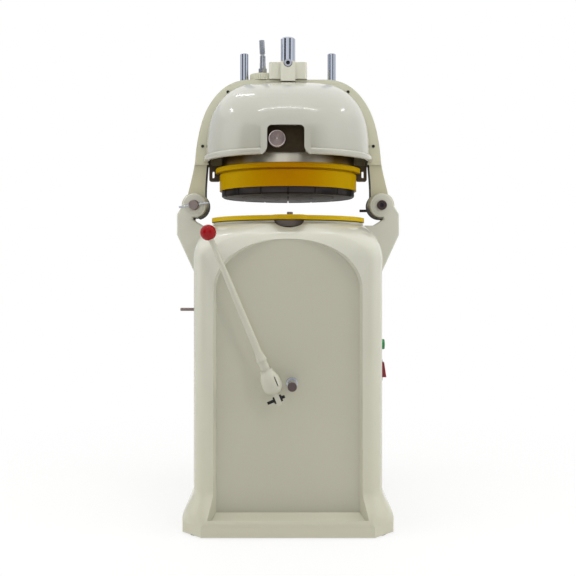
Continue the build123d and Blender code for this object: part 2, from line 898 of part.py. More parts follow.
def hood_section(side, half, depth, z):
    with BuildSketch(Plane((0, side * flange_y, z), x_dir=(side, 0, 0))) as section:
        with BuildLine():
            EllipticalCenterArc((0, 0), half, depth, start_angle=0, arc_size=180)
            Line((-half, 0), (half, 0))
        make_face()
    return section.sketch


# Hood form: half-elliptic sections that close in towards the crown
def hood_form(side, inset, mode):
    sections = []
    for step in hood_steps:
        half, depth, z = hood_size(step, inset)
        sections.append(hood_section(side, half, depth, z))
    loft(sections, mode=mode)


# Flat flange of a cover: the yoke's outline above the parting line, open inside the hood
def cover_flange(side):
    edge_points = outer_points(flange_inset)
    low = edge_points[2]
    top_z = crown_z - flange_inset
    plane = forward(0, side * yoke_half_t, 0)
    with BuildSketch(plane) as band:
        with BuildLine():
            Line((0, top_z), (crown_half, top_z))
            Spline((crown_half, top_z), *edge_points, tangents=((1, 0), (0.25, -1)))
            Line(edge_points[-1], (0, edge_points[-1][1]))
            mirror(about=Plane.YZ)
        make_face()
        with Locations((0, parting_z)):
            Rectangle(3 * low[0], 3 * low[0], align=(Align.CENTER, Align.MAX), mode=Mode.SUBTRACT)
        inside = [hood_size(step, hood_wall + flange_lip) for step in hood_steps]
        with BuildLine():
            Spline(*[(half, z) for half, depth, z in inside])
            Line((inside[-1][0], inside[-1][2]), (0, inside[-1][2]))
            Line((inside[0][0], inside[0][2]), (inside[0][0], parting_z))
            Line((inside[0][0], parting_z), (0, parting_z))
            mirror(about=Plane.YZ)
        make_face(mode=Mode.SUBTRACT)
    extrude(band.sketch, amount=-side * flange_t)


# Rounded bead along the hood's lower edge
def hood_bead(side):
    bead = hood_section(side, hood_half + bead_out, hood_depth + bead_out, hood_z)
    extrude(bead, amount=bead_h)


def cover_screw_holes(side):
    for across in (-1, 1):
        for place_x, place_z in cover_screw_places:
            hole = forward(across * place_x, side * yoke_half_t, place_z)
            bar(hole, cover_screw_r, -side * flange_t, Mode.SUBTRACT)


# Raised rim round the window
with BuildPart() as window_rim:
    hood_form(-1, -bead_out, Mode.ADD)
    with BuildSketch(forward(window_x, -flange_y - hood_depth / 2, 0)) as rim_plan:
        rim_top = window_top_z + bead_h
        with Locations((0, rim_top)):
            Rectangle(
                2 * (window_half + bead_h),
                rim_top - hood_z + bead_h,
                align=(Align.CENTER, Align.MAX),
            )
        fillet(rim_plan.vertices().group_by(Axis.Y)[-1], window_corner_r + bead_h)
    extrude(rim_plan.sketch, amount=hood_depth, mode=Mode.INTERSECT)

with BuildPart() as front_cover:
    hood_bead(-1)
    fillet(edges().filter_by(GeomType.ELLIPSE), bead_round)
    hood_form(-1, 0, Mode.ADD)
    add(window_rim.part)
    hood_form(-1, hood_wall, Mode.SUBTRACT)
    cover_flange(-1)
    with BuildSketch(forward(window_x, -flange_y - hood_depth / 2, 0)) as window_plan:
        window_corner = (window_half - window_corner_r, window_top_z - window_corner_r)
        window_foot = (window_half + window_flare_r, hood_z - window_flare_drop)
        window_low = window_foot[1] - bead_h
        with BuildLine():
            Line((0, window_top_z), (window_corner[0], window_top_z))
            CenterArc(window_corner, window_corner_r, 0, 90)
            Line((window_half, window_corner[1]), (window_half, window_foot[1] + window_flare_r))
            CenterArc((window_foot[0], window_foot[1] + window_flare_r), window_flare_r, 180, 90)
            Line(window_foot, (window_foot[0], window_low))
            Line((window_foot[0], window_low), (0, window_low))
            mirror(about=Plane.YZ)
        make_face()
    extrude(window_plan.sketch, amount=hood_depth, mode=Mode.SUBTRACT)
    cover_screw_holes(-1)
front_cover.part.label = "front_cover"
export_step(front_cover.part, "parts/front_cover.step")

with BuildPart() as rear_hood:
    hood_bead(1)
    fillet(edges().filter_by(GeomType.ELLIPSE), bead_round)
    hood_form(1, 0, Mode.ADD)
    hood_form(1, hood_wall, Mode.SUBTRACT)
    cover_flange(1)
    cover_screw_holes(1)
rear_hood.part.label = "rear_hood"
export_step(rear_hood.part, "parts/rear_hood.step")

# Screws of both covers
with BuildPart() as cover_screws:
    for side in (-1, 1):
        for across in (-1, 1):
            for place_x, place_z in cover_screw_places:
                seat = forward(across * place_x, side * flange_y, place_z)
                bar(seat, cover_screw_head_r, -side * cover_screw_head_t)
                bar(seat, cover_screw_r, side * (flange_t + cover_screw_depth))
cover_screws.part.label = "cover_screws"
export_step(cover_screws.part, "parts/cover_screws.step")

# Block that guides the spindle on the crown, with a pad in front for its clamp screw
with BuildPart() as spindle_block:
    with BuildSketch(up(0, 0, crown_z)) as block_plan:
        RectangleRounded(block_w, block_d, block_corner_r)
    extrude(block_plan.sketch, amount=block_h)
    pad_d = clamp_y - flange_y - free_gap
    block(up(0, pad_d / 2 - clamp_y, crown_z - block_skirt), block_pad_w, pad_d, block_h + block_skirt)
    bar(up(0, 0, crown_z), spindle_r + run_gap, block_h, Mode.SUBTRACT)
    bar(
        forward(0, clamp_head_t - clamp_y, clamp_z),
        clamp_head_r + clamp_relief,
        clamp_head_t,
        Mode.SUBTRACT,
    )
    bar(forward(0, 0, clamp_z), clamp_r, clamp_y, Mode.SUBTRACT)
spindle_block.part.label = "spindle_block"
export_step(spindle_block.part, "parts/spindle_block.step")

# Clamp screw in the block's top edge
with BuildPart() as clamp_screw:
    clamp_seat = forward(0, clamp_head_t - clamp_y, clamp_z)
    bar(clamp_seat, clamp_head_r, clamp_head_t)
    bar(clamp_seat, clamp_r, spindle_r + free_gap - clamp_y + clamp_head_t)
    socket_plane = forward(0, clamp_head_t / 2 - clamp_y, clamp_z)
    flats(socket_plane, clamp_head_r, 6, clamp_head_t, Mode.SUBTRACT)
clamp_screw.part.label = "clamp_screw"
export_step(clamp_screw.part, "parts/clamp_screw.step")

# Press cylinder under the crown
with BuildPart() as press_cylinder:
    bar(up(0, 0, cylinder_z), cylinder_r, cylinder_h)
    bar(up(0, 0, under_z - cylinder_flange_t), cylinder_flange_r, cylinder_flange_t)
    bore_h = cylinder_h - 2 * cylinder_end_t
    bar(up(0, 0, cylinder_z + cylinder_end_t), piston_r + 2 * run_gap, bore_h, Mode.SUBTRACT)
    bar(up(0, 0, cylinder_z), spindle_r + run_gap, cylinder_h, Mode.SUBTRACT)
press_cylinder.part.label = "press_cylinder"
export_step(press_cylinder.part, "parts/press_cylinder.step")

# Spindle with its piston
with BuildPart() as spindle:
    bar(up(0, 0, carrier_z), spindle_r, spindle_top_z - carrier_z)
    chamfer(faces().sort_by(Axis.Z)[-1].edges(), spindle_chamfer)
    piston_z = under_z - cylinder_end_t - piston_gap - piston_t
    bar(up(0, 0, piston_z), piston_r, piston_t)
spindle.part.label = "spindle"
export_step(spindle.part, "parts/spindle.step")

with BuildPart() as guide_posts:
    for side in (-1, 1):
        bar(up(side * post_x, 0, carrier_z), post_r, post_top_z - carrier_z)
    chamfer(faces().group_by(Axis.Z)[-1].edges(), knob_chamfer)
guide_posts.part.label = "guide_posts"
export_step(guide_posts.part, "parts/guide_posts.step")


# Holes for the segments' stems
def stem_holes(z, radius, height, mode=Mode.SUBTRACT):
    for ring_r, count in stem_rings:
        with BuildSketch(up(0, 0, z)) as section:
            with PolarLocations(ring_r, count, start_angle=180 / count):
                Circle(radius)
        extrude(section.sketch, amount=height, mode=mode)


# Carrier plate: a dish that hangs the press unit on the spindle and posts
with BuildPart() as carrier_plate:
    bar(up(0, 0, carrier_z), ring_in, carrier_rim_h)
    bar(up(0, 0, carrier_z + carrier_t), ring_in - carrier_rim_t, carrier_rim_h, Mode.SUBTRACT)
    bar(up(0, 0, carrier_z), carrier_hub_r, carrier_hub_h)
    bar(up(0, 0, carrier_z), spindle_r, carrier_hub_h, Mode.SUBTRACT)
    for side in (-1, 1):
        bar(up(side * post_x, 0, carrier_z), post_r, carrier_t, Mode.SUBTRACT)
    stem_holes(carrier_z, stem_r + stem_gap, carrier_t)
carrier_plate.part.label = "carrier_plate"
export_step(carrier_plate.part, "parts/carrier_plate.step")

# Casing ring that closes round the dough
with BuildPart() as casing_ring:
    bar(up(0, 0, ring_z), ring_out, ring_h)
    bar(up(0, 0, flange_z), ring_flange_r, ring_flange_t)
    fillet(faces().sort_by(Axis.Z)[-1].edges(), ring_round)
    with BuildSketch(up(0, 0, flange_z - ring_groove_h)) as groove:
        Circle(ring_flange_r)
        Circle(ring_out - ring_groove_depth, mode=Mode.SUBTRACT)
    extrude(groove.sketch, amount=ring_groove_h, mode=Mode.SUBTRACT)
    bar(up(0, 0, ring_z), ring_in, ring_h + ring_flange_t, Mode.SUBTRACT)
casing_ring.part.label = "casing_ring"
export_step(casing_ring.part, "parts/casing_ring.step")

# Hangers that clip the ring's flange to the carrier
with BuildPart() as ring_hangers:
    for side in (-1, 1):
        hanger_low_z = flange_z - hanger_low
        hanger_points = [
            (ring_out, hanger_low_z),
            (hanger_x, hanger_low_z),
            (hanger_x, carrier_z + hanger_tab),
            (ring_in, carrier_z + hanger_tab),
            (ring_in, carrier_z),
            (ring_flange_r, carrier_z),
            (ring_flange_r, flange_z),
            (ring_out, flange_z),
        ]
        with BuildSketch(forward(0, hanger_w / 2, 0)) as hanger:
            with BuildLine():
                Polyline([(side * x, z) for x, z in hanger_points], close=True)
            make_face()
            fillet(hanger.vertices().group_by(Axis.Y)[0], hanger_round)
            with Locations((side * hanger_slot_x, flange_z - hanger_slot_drop)):
                SlotOverall(hanger_slot_h, hanger_slot_w, rotation=90, mode=Mode.SUBTRACT)
        extrude(hanger.sketch, amount=hanger_w)
ring_hangers.part.label = "ring_hangers"
export_step(ring_hangers.part, "parts/ring_hangers.step")


# Crossed and round walls between the pieces, of one thickness
def knife_walls(z, thickness, height, mode):
    for radius in (knife_r1, knife_r2):
        with BuildSketch(up(0, 0, z)) as wall_ring:
            Circle(radius + thickness / 2)
            Circle(radius - thickness / 2, mode=Mode.SUBTRACT)
        extrude(wall_ring.sketch, amount=height, mode=mode)
    for inner_r, outer_r, count in knife_rings:
        with BuildSketch(up(0, 0, z)) as blades:
            with PolarLocations((inner_r + outer_r) / 2, count):
                Rectangle(outer_r - inner_r + thickness / 2, thickness)
        extrude(blades.sketch, amount=height, mode=mode)


with BuildPart() as knife_grid:
    knife_walls(ring_z, knife_t, carrier_z - ring_z, Mode.ADD)
    with BuildSketch(up(0, 0, ring_z)) as grid_edge:
        Circle(segment_r)
    extrude(grid_edge.sketch, amount=carrier_z - ring_z, mode=Mode.INTERSECT)
knife_grid.part.label = "knife_grid"
export_step(knife_grid.part, "parts/knife_grid.step")

# Press segments: a disc parted by the knives, each piece on its own stem
with BuildPart() as press_segments:
    bar(up(0, 0, segment_z), segment_r, segment_t)
    fillet(faces().sort_by(Axis.Z)[0].edges(), segment_round)
    knife_walls(segment_z, knife_t + 2 * segment_gap, segment_t, Mode.SUBTRACT)
    stem_holes(segment_z + segment_t, stem_r, spider_z - segment_z - segment_t, Mode.ADD)
press_segments.part.label = "press_segments"
export_step(press_segments.part, "parts/press_segments.step")

# Spider that lifts all the segments together
with BuildPart() as press_spider:
    bar(up(0, 0, spider_z), spider_r, spider_t)
    bar(up(0, 0, spider_z), carrier_hub_r + free_gap, spider_t, Mode.SUBTRACT)
    for side in (-1, 1):
        bar(up(side * post_x, 0, spider_z), post_r + free_gap, spider_t, Mode.SUBTRACT)
press_spider.part.label = "press_spider"
export_step(press_spider.part, "parts/press_spider.step")

# Turned knob behind the front cover's window
with BuildPart() as window_knob:
    bar(forward(knob_x, knob_t - knob_front, knob_z), knob_r, knob_t)
    chamfer(edges().filter_by(GeomType.CIRCLE), knob_chamfer)
    bar(forward(knob_x, knob_t + knob_stem_l - knob_front, knob_z), knob_stem_r, knob_stem_l)
window_knob.part.label = "window_knob"
export_step(window_knob.part, "parts/window_knob.step")

# Bracket that carries the knob on the press cylinder
with BuildPart() as knob_bracket:
    bracket_y = knob_front - knob_t - bracket_gap
    bracket_z = knob_z - bracket_low
    bracket_h = bracket_arm_z + bracket_t / 2 - bracket_z
    block(
        forward(window_x, bracket_t - bracket_y, bracket_z + bracket_h / 2),
        bracket_w,
        bracket_h,
        bracket_t,
    )
    block(forward(knob_x, 0, bracket_arm_z), bracket_arm_w, bracket_t, bracket_y)
    bar(up(0, 0, cylinder_z), cylinder_r, cylinder_h, Mode.SUBTRACT)
    bar(forward(knob_x, bracket_t - bracket_y, knob_z), knob_stem_r + run_gap, bracket_t, Mode.SUBTRACT)
knob_bracket.part.label = "knob_bracket"
export_step(knob_bracket.part, "parts/knob_bracket.step")

# Adjuster stem with a hex collar and a fork
with BuildPart() as adjuster_stem:
    bar(up(adjuster_x, 0, adjuster_z - adjuster_in), adjuster_r, adjuster_in + adjuster_collar_gap)
    flats(up(adjuster_x, 0, collar_z), adjuster_collar_flats, 6, adjuster_collar_h)
    bar(up(adjuster_x, 0, fork_z), fork_r, fork_h)
    slot_z = fork_z + fork_h - fork_slot_h
    block(up(adjuster_x, 0, slot_z), 2 * fork_r, fork_slot_w, fork_slot_h, Mode.SUBTRACT)
    bar(forward(adjuster_x, fork_r, fork_pin_z), fork_pin_r, 2 * fork_r)
adjuster_stem.part.label = "adjuster_stem"
export_step(adjuster_stem.part, "parts/adjuster_stem.step")

# Folding knurled handle on the fork's pin
lean = radians(handle_lean)
lean_axis = (-sin(lean), 0, cos(lean))


def handle_plane(rise):
    centre = (adjuster_x + rise * lean_axis[0], 0, fork_pin_z + rise * lean_axis[2])
    return Plane(centre, x_dir=(0, 1, 0), z_dir=lean_axis)


with BuildPart() as adjuster_handle:
    tongue_half = fork_slot_w / 2 - handle_tongue_gap
    bar(forward(adjuster_x, tongue_half, fork_pin_z), handle_eye_r, 2 * tongue_half)
    block(handle_plane(0), 2 * tongue_half, 2 * handle_eye_r, handle_neck)
    with BuildSketch(handle_plane(handle_neck)) as grip:
        Circle(handle_r)
        with PolarLocations(handle_r, knurl_count):
            Circle(knurl_depth, mode=Mode.SUBTRACT)
    extrude(grip.sketch, amount=handle_l)
    pin_plane = forward(adjuster_x, tongue_half, fork_pin_z)
    bar(pin_plane, fork_pin_r + run_gap, 2 * tongue_half, Mode.SUBTRACT)
adjuster_handle.part.label = "adjuster_handle"
export_step(adjuster_handle.part, "parts/adjuster_handle.step")

# Rounding plate with a finger lip
with BuildPart() as rounding_plate:

    def rim_point(x):
        return (x, table_y - sqrt(plate_r**2 - x**2))

    def rim_tangent(x):
        return (sqrt(plate_r**2 - x**2), x)

    lip_left = notch_x - lip_root_half
    lip_right = notch_x + lip_root_half
    lip_y = table_y - plate_r - lip_out
    flat_left = (notch_x - lip_flat_half, lip_y)
    flat_right = (notch_x + lip_flat_half, lip_y)
    with BuildSketch(up(0, 0, table_z)) as plate_outline:
        with BuildLine():
            Spline(rim_point(lip_left), flat_left, tangents=(rim_tangent(lip_left), (1, 0)))
            Line(flat_left, flat_right)
            Spline(flat_right, rim_point(lip_right), tangents=((1, 0), rim_tangent(lip_right)))
            Line(rim_point(lip_right), rim_point(lip_left))
        make_face()
        with Locations((0, table_y)):
            Circle(plate_r)
    extrude(plate_outline.sketch, amount=plate_t)
rounding_plate.part.label = "rounding_plate"
export_step(rounding_plate.part, "parts/rounding_plate.step")

with BuildPart() as plate_stud:
    bar(up(stud_x, table_y - plate_r - stud_out, plate_z), stud_r, stud_h)
    chamfer(faces().sort_by(Axis.Z)[-1].edges(), stud_r / 8)
plate_stud.part.label = "plate_stud"
export_step(plate_stud.part, "parts/plate_stud.step")

# Orbiting table with a hub for the crank and bosses for the idlers
with BuildPart() as table:
    bar(up(0, table_y, table_low), table_r, table_t)
    bar(up(0, table_y, hub_z), table_hub_r, table_hub_h)
    crank_bore = table_z - bore_cap - hub_z
    bar(up(0, table_y, hub_z), crank_pin_r + run_gap, crank_bore, Mode.SUBTRACT)
    boss_z = table_low - table_boss_h
    for side in (-1, 1):
        bar(up(side * idler_x, table_y, boss_z), table_boss_r, table_boss_h)
        bar(
            up(side * idler_x, table_y, boss_z),
            idler_pin_r + run_gap,
            table_z - bore_cap - boss_z,
            Mode.SUBTRACT,
        )
table.part.label = "table"
export_step(table.part, "parts/table.step")

# Deck plate that carries the drive inside the cabinet
with BuildPart() as drive_deck:
    deck_front = panel_y - wall - free_gap
    deck_rear = body_rear - wall - free_gap
    deck_half = side_x - wall - free_gap
    deck_section = body_section(deck_z, deck_half, deck_front, deck_rear, corner_r - wall)
    extrude(deck_section, amount=deck_t)
    bar(up(0, 0, deck_z), shaft_r + free_gap, deck_t, Mode.SUBTRACT)
    bar(up(0, motor_y, deck_z), motor_shaft_r + free_gap, deck_t, Mode.SUBTRACT)
drive_deck.part.label = "drive_deck"
export_step(drive_deck.part, "parts/drive_deck.step")

# Bearing housings: the main one under the deck and one for each idler crank on it
with BuildPart() as drive_bearings:
    bar(up(0, 0, deck_z - housing_flange_t), housing_flange_r, housing_flange_t)
    bar(up(0, 0, deck_z - housing_h - housing_flange_t), housing_r, housing_h)
    bar(
        up(0, 0, deck_z - housing_h - housing_flange_t),
        shaft_r + run_gap,
        housing_h + housing_flange_t,
        Mode.SUBTRACT,
    )
    for side in (-1, 1):
        tube(up(side * idler_x, 0, deck_top), idler_housing_r, idler_r + run_gap, idler_housing_h)
drive_bearings.part.label = "drive_bearings"
export_step(drive_bearings.part, "parts/drive_bearings.step")

# Crank shaft with a counterweight and an eccentric pin
with BuildPart() as crank_shaft:
    bar(up(0, 0, deck_z - shaft_low), shaft_r, web_z - deck_z + shaft_low)
    bar(up(0, 0, web_z), web_r, web_t)
    with BuildSketch(up(0, 0, web_z)) as weight:
        Circle(weight_r)
        Rectangle(2 * weight_r, weight_r, align=(Align.CENTER, Align.MAX), mode=Mode.SUBTRACT)
    extrude(weight.sketch, amount=web_t)
    bar(up(0, table_y, web_z + web_t), crank_pin_r, table_z - bore_cap - hub_gap - web_z - web_t)
crank_shaft.part.label = "crank_shaft"
export_step(crank_shaft.part, "parts/crank_shaft.step")


# Belt pulley with a groove
def pulley(y, outer):
    bar(up(0, y, pulley_z), outer, pulley_t)
    with BuildSketch(up(0, y, pulley_z + (pulley_t - groove_w) / 2)) as groove_ring:
        Circle(2 * outer)
        Circle(outer - groove_depth, mode=Mode.SUBTRACT)
    extrude(groove_ring.sketch, amount=groove_w, mode=Mode.SUBTRACT)


with BuildPart() as driven_pulley:
    pulley(0, pulley_r)
    bar(up(0, 0, pulley_z), shaft_r, pulley_t, Mode.SUBTRACT)
driven_pulley.part.label = "driven_pulley"
export_step(driven_pulley.part, "parts/driven_pulley.step")

with BuildPart() as motor_pulley:
    pulley(motor_y, motor_pulley_r)
    shaft_z = deck_z - motor_flange_t - motor_shaft_in
    bar(up(0, motor_y, shaft_z), motor_shaft_r, pulley_z - shaft_z)
motor_pulley.part.label = "motor_pulley"
export_step(motor_pulley.part, "parts/motor_pulley.step")


# Outline of the belt at one distance from the groove floors
def belt_outline(offset):
    with BuildSketch(up(0, 0, pulley_z + (pulley_t - belt_w) / 2)) as outline:
        Circle(pulley_r - groove_depth + offset)
        with Locations((0, motor_y)):
            Circle(motor_pulley_r - groove_depth + offset)
        make_hull()
    return outline.sketch


with BuildPart() as drive_belt:
    extrude(belt_outline(belt_gap + belt_t), amount=belt_w)
    extrude(belt_outline(belt_gap), amount=belt_w, mode=Mode.SUBTRACT)
drive_belt.part.label = "drive_belt"
export_step(drive_belt.part, "parts/drive_belt.step")

# Motor hung under the deck
with BuildPart() as motor:
    motor_low = deck_z - motor_flange_t - motor_h
    bar(up(0, motor_y, deck_z - motor_flange_t), motor_flange_r, motor_flange_t)
    bar(up(0, motor_y, motor_low), motor_r, motor_h)
    for row in range(fin_count):
        fin_z = motor_low + (row + 0.5) * motor_h / fin_count - fin_t / 2
        bar(up(0, motor_y, fin_z), fin_r, fin_t)
    bar(
        up(0, motor_y, deck_z - motor_flange_t - motor_shaft_in),
        motor_shaft_r + run_gap,
        motor_flange_t + motor_shaft_in,
        Mode.SUBTRACT,
    )
motor.part.label = "motor"
export_step(motor.part, "parts/motor.step")


# Idler crank: shaft, web and eccentric pin
def idler_crank(side):
    idler_low = deck_top + idler_web_gap
    bar(up(side * idler_x, 0, idler_low), idler_r, idler_web_z - idler_low)
    bar(up(side * idler_x, table_y / 2, idler_web_z), idler_web_r, idler_web_t)
    pin_z = idler_web_z + idler_web_t
    bar(up(side * idler_x, table_y, pin_z), idler_pin_r, table_z - bore_cap - hub_gap - pin_z)


with BuildPart() as left_idler_crank:
    idler_crank(-1)
left_idler_crank.part.label = "left_idler_crank"
export_step(left_idler_crank.part, "parts/left_idler_crank.step")

with BuildPart() as right_idler_crank:
    idler_crank(1)
right_idler_crank.part.label = "right_idler_crank"
export_step(right_idler_crank.part, "parts/right_idler_crank.step")

# Oil tank on the base plate, open on top
with BuildPart() as oil_tank:
    tank_z = base_z + base_plate_t
    block(up(0, tank_y, tank_z), tank_w, tank_d, tank_h)
    block(
        up(0, tank_y, tank_z + tank_wall),
        tank_w - 2 * tank_wall,
        tank_d - 2 * tank_wall,
        tank_h,
        Mode.SUBTRACT,
    )
oil_tank.part.label = "oil_tank"
export_step(oil_tank.part, "parts/oil_tank.step")

# Pump set on the tank's lid
with BuildPart() as hydraulic_pump:
    lid_z = tank_z + tank_h
    block(up(0, tank_y, lid_z), tank_w, tank_d, pump_lid_t)
    bar(up(-tank_w / 5, tank_y, lid_z + pump_lid_t), pump_r, pump_h)
    block(up(tank_w / 4, tank_y, lid_z + pump_lid_t), pump_block, pump_block, pump_block_h)
hydraulic_pump.part.label = "hydraulic_pump"
export_step(hydraulic_pump.part, "parts/hydraulic_pump.step")

# Rotary valve behind the front panel, turned by the lever's shaft
with BuildPart() as rotary_valve:
    valve_y = panel_y - wall
    block(forward(lever_x, valve_d - valve_y, lever_z), valve_w, valve_w, valve_d)
    bar(forward(lever_x, -valve_y, lever_z), lever_boss_r, wall + valve_boss_out)
    bar(
        forward(lever_x, valve_d / 4 - valve_y, lever_z),
        lever_shaft_r + run_gap,
        valve_d / 4 + wall + valve_boss_out,
        Mode.SUBTRACT,
    )
rotary_valve.part.label = "rotary_valve"
export_step(rotary_valve.part, "parts/rotary_valve.step")

# Lever axes: across the lever, along it, and its pivot
lever_turn = radians(lever_lean)
lever_along = (-sin(lever_turn), 0, cos(lever_turn))
lever_across = (cos(lever_turn), 0, sin(lever_turn))
lever_plane = Plane((lever_x, -lever_y, lever_z), x_dir=lever_across, z_dir=(0, -1, 0))
lever_axis = Axis((lever_x, -lever_y, lever_z), lever_along)


def lever_point(across, along, y):
    return (
        lever_x + across * lever_across[0] + along * lever_along[0],
        -y,
        lever_z + across * lever_across[2] + along * lever_along[2],
    )


with BuildPart() as lever_shaft:
    shaft_end = panel_y - wall - valve_d / 4 + free_gap
    bar(forward(lever_x, -shaft_end, lever_z), lever_shaft_r, lever_y - lever_hub_r / 2 - shaft_end)
lever_shaft.part.label = "lever_shaft"
export_step(lever_shaft.part, "parts/lever_shaft.step")

# Lever hub: a rounded body on the shaft, a collared socket above and a tongue below
with BuildPart() as lever_hub:
    with BuildSketch(lever_plane) as hub_profile:
        with BuildLine():
            Polyline(
                (0, lever_socket),
                (lever_neck_r, lever_socket),
                (lever_neck_r, lever_collar_u + lever_collar_t),
                (lever_collar_r, lever_collar_u + lever_collar_t),
                (lever_collar_r, lever_collar_u),
            )
            Spline(
                (lever_collar_r, lever_collar_u),
                (lever_hub_r, 0),
                tangents=((0.5, -1), (0, -1)),
            )
            Line((lever_hub_r, 0), (lever_hub_r, lever_hub_round - lever_hub_low))
            RadiusArc(
                (lever_hub_r, lever_hub_round - lever_hub_low),
                (lever_hub_r - lever_hub_round, -lever_hub_low),
                lever_hub_round,
            )
            Line((lever_hub_r - lever_hub_round, -lever_hub_low), (0, -lever_hub_low))
            Line((0, -lever_hub_low), (0, lever_socket))
        make_face()
    revolve(hub_profile.sketch, lever_axis)
    boss_l = lever_y - panel_y - valve_boss_out - lever_boss_gap
    bar(forward(lever_x, -lever_y, lever_z), lever_boss_r, -boss_l)
    tongue_plane = Plane(
        lever_point(0, -tongue_end, lever_y), x_dir=lever_across, z_dir=lever_along
    )
    block(tongue_plane, tongue_w, tongue_t, tongue_end)
    bore_l = lever_y - lever_hub_r / 2 - panel_y
    bar(forward(lever_x, -panel_y, lever_z), lever_shaft_r, bore_l, Mode.SUBTRACT)
    slit_plane = Plane(lever_point(slit_off, 0, lever_y), x_dir=lever_across, z_dir=(0, -1, 0))
    block(slit_plane, slit_w, slit_l, lever_hub_r, Mode.SUBTRACT)
    bolt_plane = Plane(
        lever_point(-adjust_left, -adjust_u, lever_y), x_dir=(0, 1, 0), z_dir=lever_across
    )
    bar(bolt_plane, adjust_r, adjust_left + adjust_right, Mode.SUBTRACT)
lever_hub.part.label = "lever_hub"
export_step(lever_hub.part, "parts/lever_hub.step")

# Tapered lever rod that flares where it meets the hub
with BuildPart() as lever_rod:
    rod_top = lever_l - ball_r + rod_in
    with BuildSketch(lever_plane) as rod_profile:
        with BuildLine():
            Polyline(
                (0, rod_top),
                (lever_tip_r, rod_top),
                (lever_root_r, lever_socket + lever_trumpet),
                (lever_skirt_r, lever_socket),
                (0, lever_socket),
                close=True,
            )
        make_face()
    revolve(rod_profile.sketch, lever_axis)
lever_rod.part.label = "lever_rod"
export_step(lever_rod.part, "parts/lever_rod.step")

with BuildPart() as ball_knob:
    with BuildSketch(lever_plane) as ball_profile:
        with BuildLine():
            CenterArc((0, lever_l), ball_r, -90, 180)
            Line((0, lever_l - ball_r), (0, lever_l + ball_r))
        make_face()
        with Locations((0, rod_top)):
            Rectangle(
                2 * (lever_tip_r + free_gap),
                ball_r,
                align=(Align.CENTER, Align.MAX),
                mode=Mode.SUBTRACT,
            )
    revolve(ball_profile.sketch, lever_axis)
ball_knob.part.label = "ball_knob"
export_step(ball_knob.part, "parts/ball_knob.step")

# Adjusting bolt through the tongue, with a nut on each side
with BuildPart() as adjusting_bolt:
    bar(bolt_plane, adjust_r, adjust_left + adjust_right)
    for start in (-tongue_w / 2 - adjust_nut_t, tongue_w / 2):
        nut_plane = Plane(lever_point(start, -adjust_u, lever_y), x_dir=(0, 1, 0), z_dir=lever_across)
        flats(nut_plane, 2 * adjust_nut_r, 6, adjust_nut_t)
adjusting_bolt.part.label = "adjusting_bolt"
export_step(adjusting_bolt.part, "parts/adjusting_bolt.step")

# Stop post on the panel with a rubber buffer at its end
with BuildPart() as stop_post:
    bar(forward(stop_x, -panel_y, stop_z), stop_r, stop_front - panel_y)
    bar(forward(stop_x, -panel_y, stop_z), stop_base_r, stop_base_t)
stop_post.part.label = "stop_post"
export_step(stop_post.part, "parts/stop_post.step")

with BuildPart() as stop_buffer:
    bar(forward(stop_x, -stop_front, stop_z), buffer_r, buffer_t)
    chamfer(faces().sort_by(Axis.Y)[0].edges(), edge_break)
stop_buffer.part.label = "stop_buffer"
export_step(stop_buffer.part, "parts/stop_buffer.step")

# Steel peg on the left side
with BuildPart() as side_peg:
    bar(rightward(-side_x - peg_out, peg_y, peg_z), peg_r, peg_out + wall + peg_in)
    chamfer(faces().sort_by(Axis.X)[0].edges(), edge_break)
side_peg.part.label = "side_peg"
export_step(side_peg.part, "parts/side_peg.step")

# Start button in a bezel with a guide barrel
with BuildPart() as button_bezel:
    bar(rightward(side_x + bezel_lip - bezel_l, control_y, button_z), bezel_barrel_r, bezel_l)
    bar(rightward(side_x, control_y, button_z), bezel_r, bezel_lip)
    pocket_x = side_x + bezel_lip - bezel_pocket
    bar(rightward(pocket_x, control_y, button_z), button_r + button_gap, bezel_pocket, Mode.SUBTRACT)
    bar(
        rightward(side_x + bezel_lip - bezel_l, control_y, button_z),
        button_stem_r + run_gap,
        bezel_l,
        Mode.SUBTRACT,
    )
button_bezel.part.label = "button_bezel"
export_step(button_bezel.part, "parts/button_bezel.step")

with BuildPart() as start_button:
    cap_x = pocket_x + button_travel + button_gap
    bar(rightward(cap_x, control_y, button_z), button_r, side_x + button_out - cap_x)
    fillet(faces().sort_by(Axis.X)[-1].edges(), 2)
    bar(rightward(cap_x - button_stem_l, control_y, button_z), button_stem_r, button_stem_l)
start_button.part.label = "start_button"
export_step(start_button.part, "parts/start_button.step")

# Main switch: a housing in the side wall and a rocker on a pin
with BuildPart() as switch_housing:
    body_x = side_x - switch_body_d
    block(rightward(body_x, control_y, switch_z), switch_body_w, switch_body_h, switch_body_d)
    block(rightward(side_x, control_y, switch_z), switch_w, switch_h, switch_lip)
    pocket_w = switch_body_w - 2 * switch_wall
    pocket_h = switch_body_h - 2 * switch_wall
    block(
        rightward(body_x + switch_wall, control_y, switch_z),
        pocket_w,
        pocket_h,
        switch_body_d,
        Mode.SUBTRACT,
    )
    pivot_x = side_x - switch_pivot_in
    bar(forward(pivot_x, control_y + switch_body_w / 2, switch_z), switch_pin_r, switch_body_w)
switch_housing.part.label = "switch_housing"
export_step(switch_housing.part, "parts/switch_housing.step")

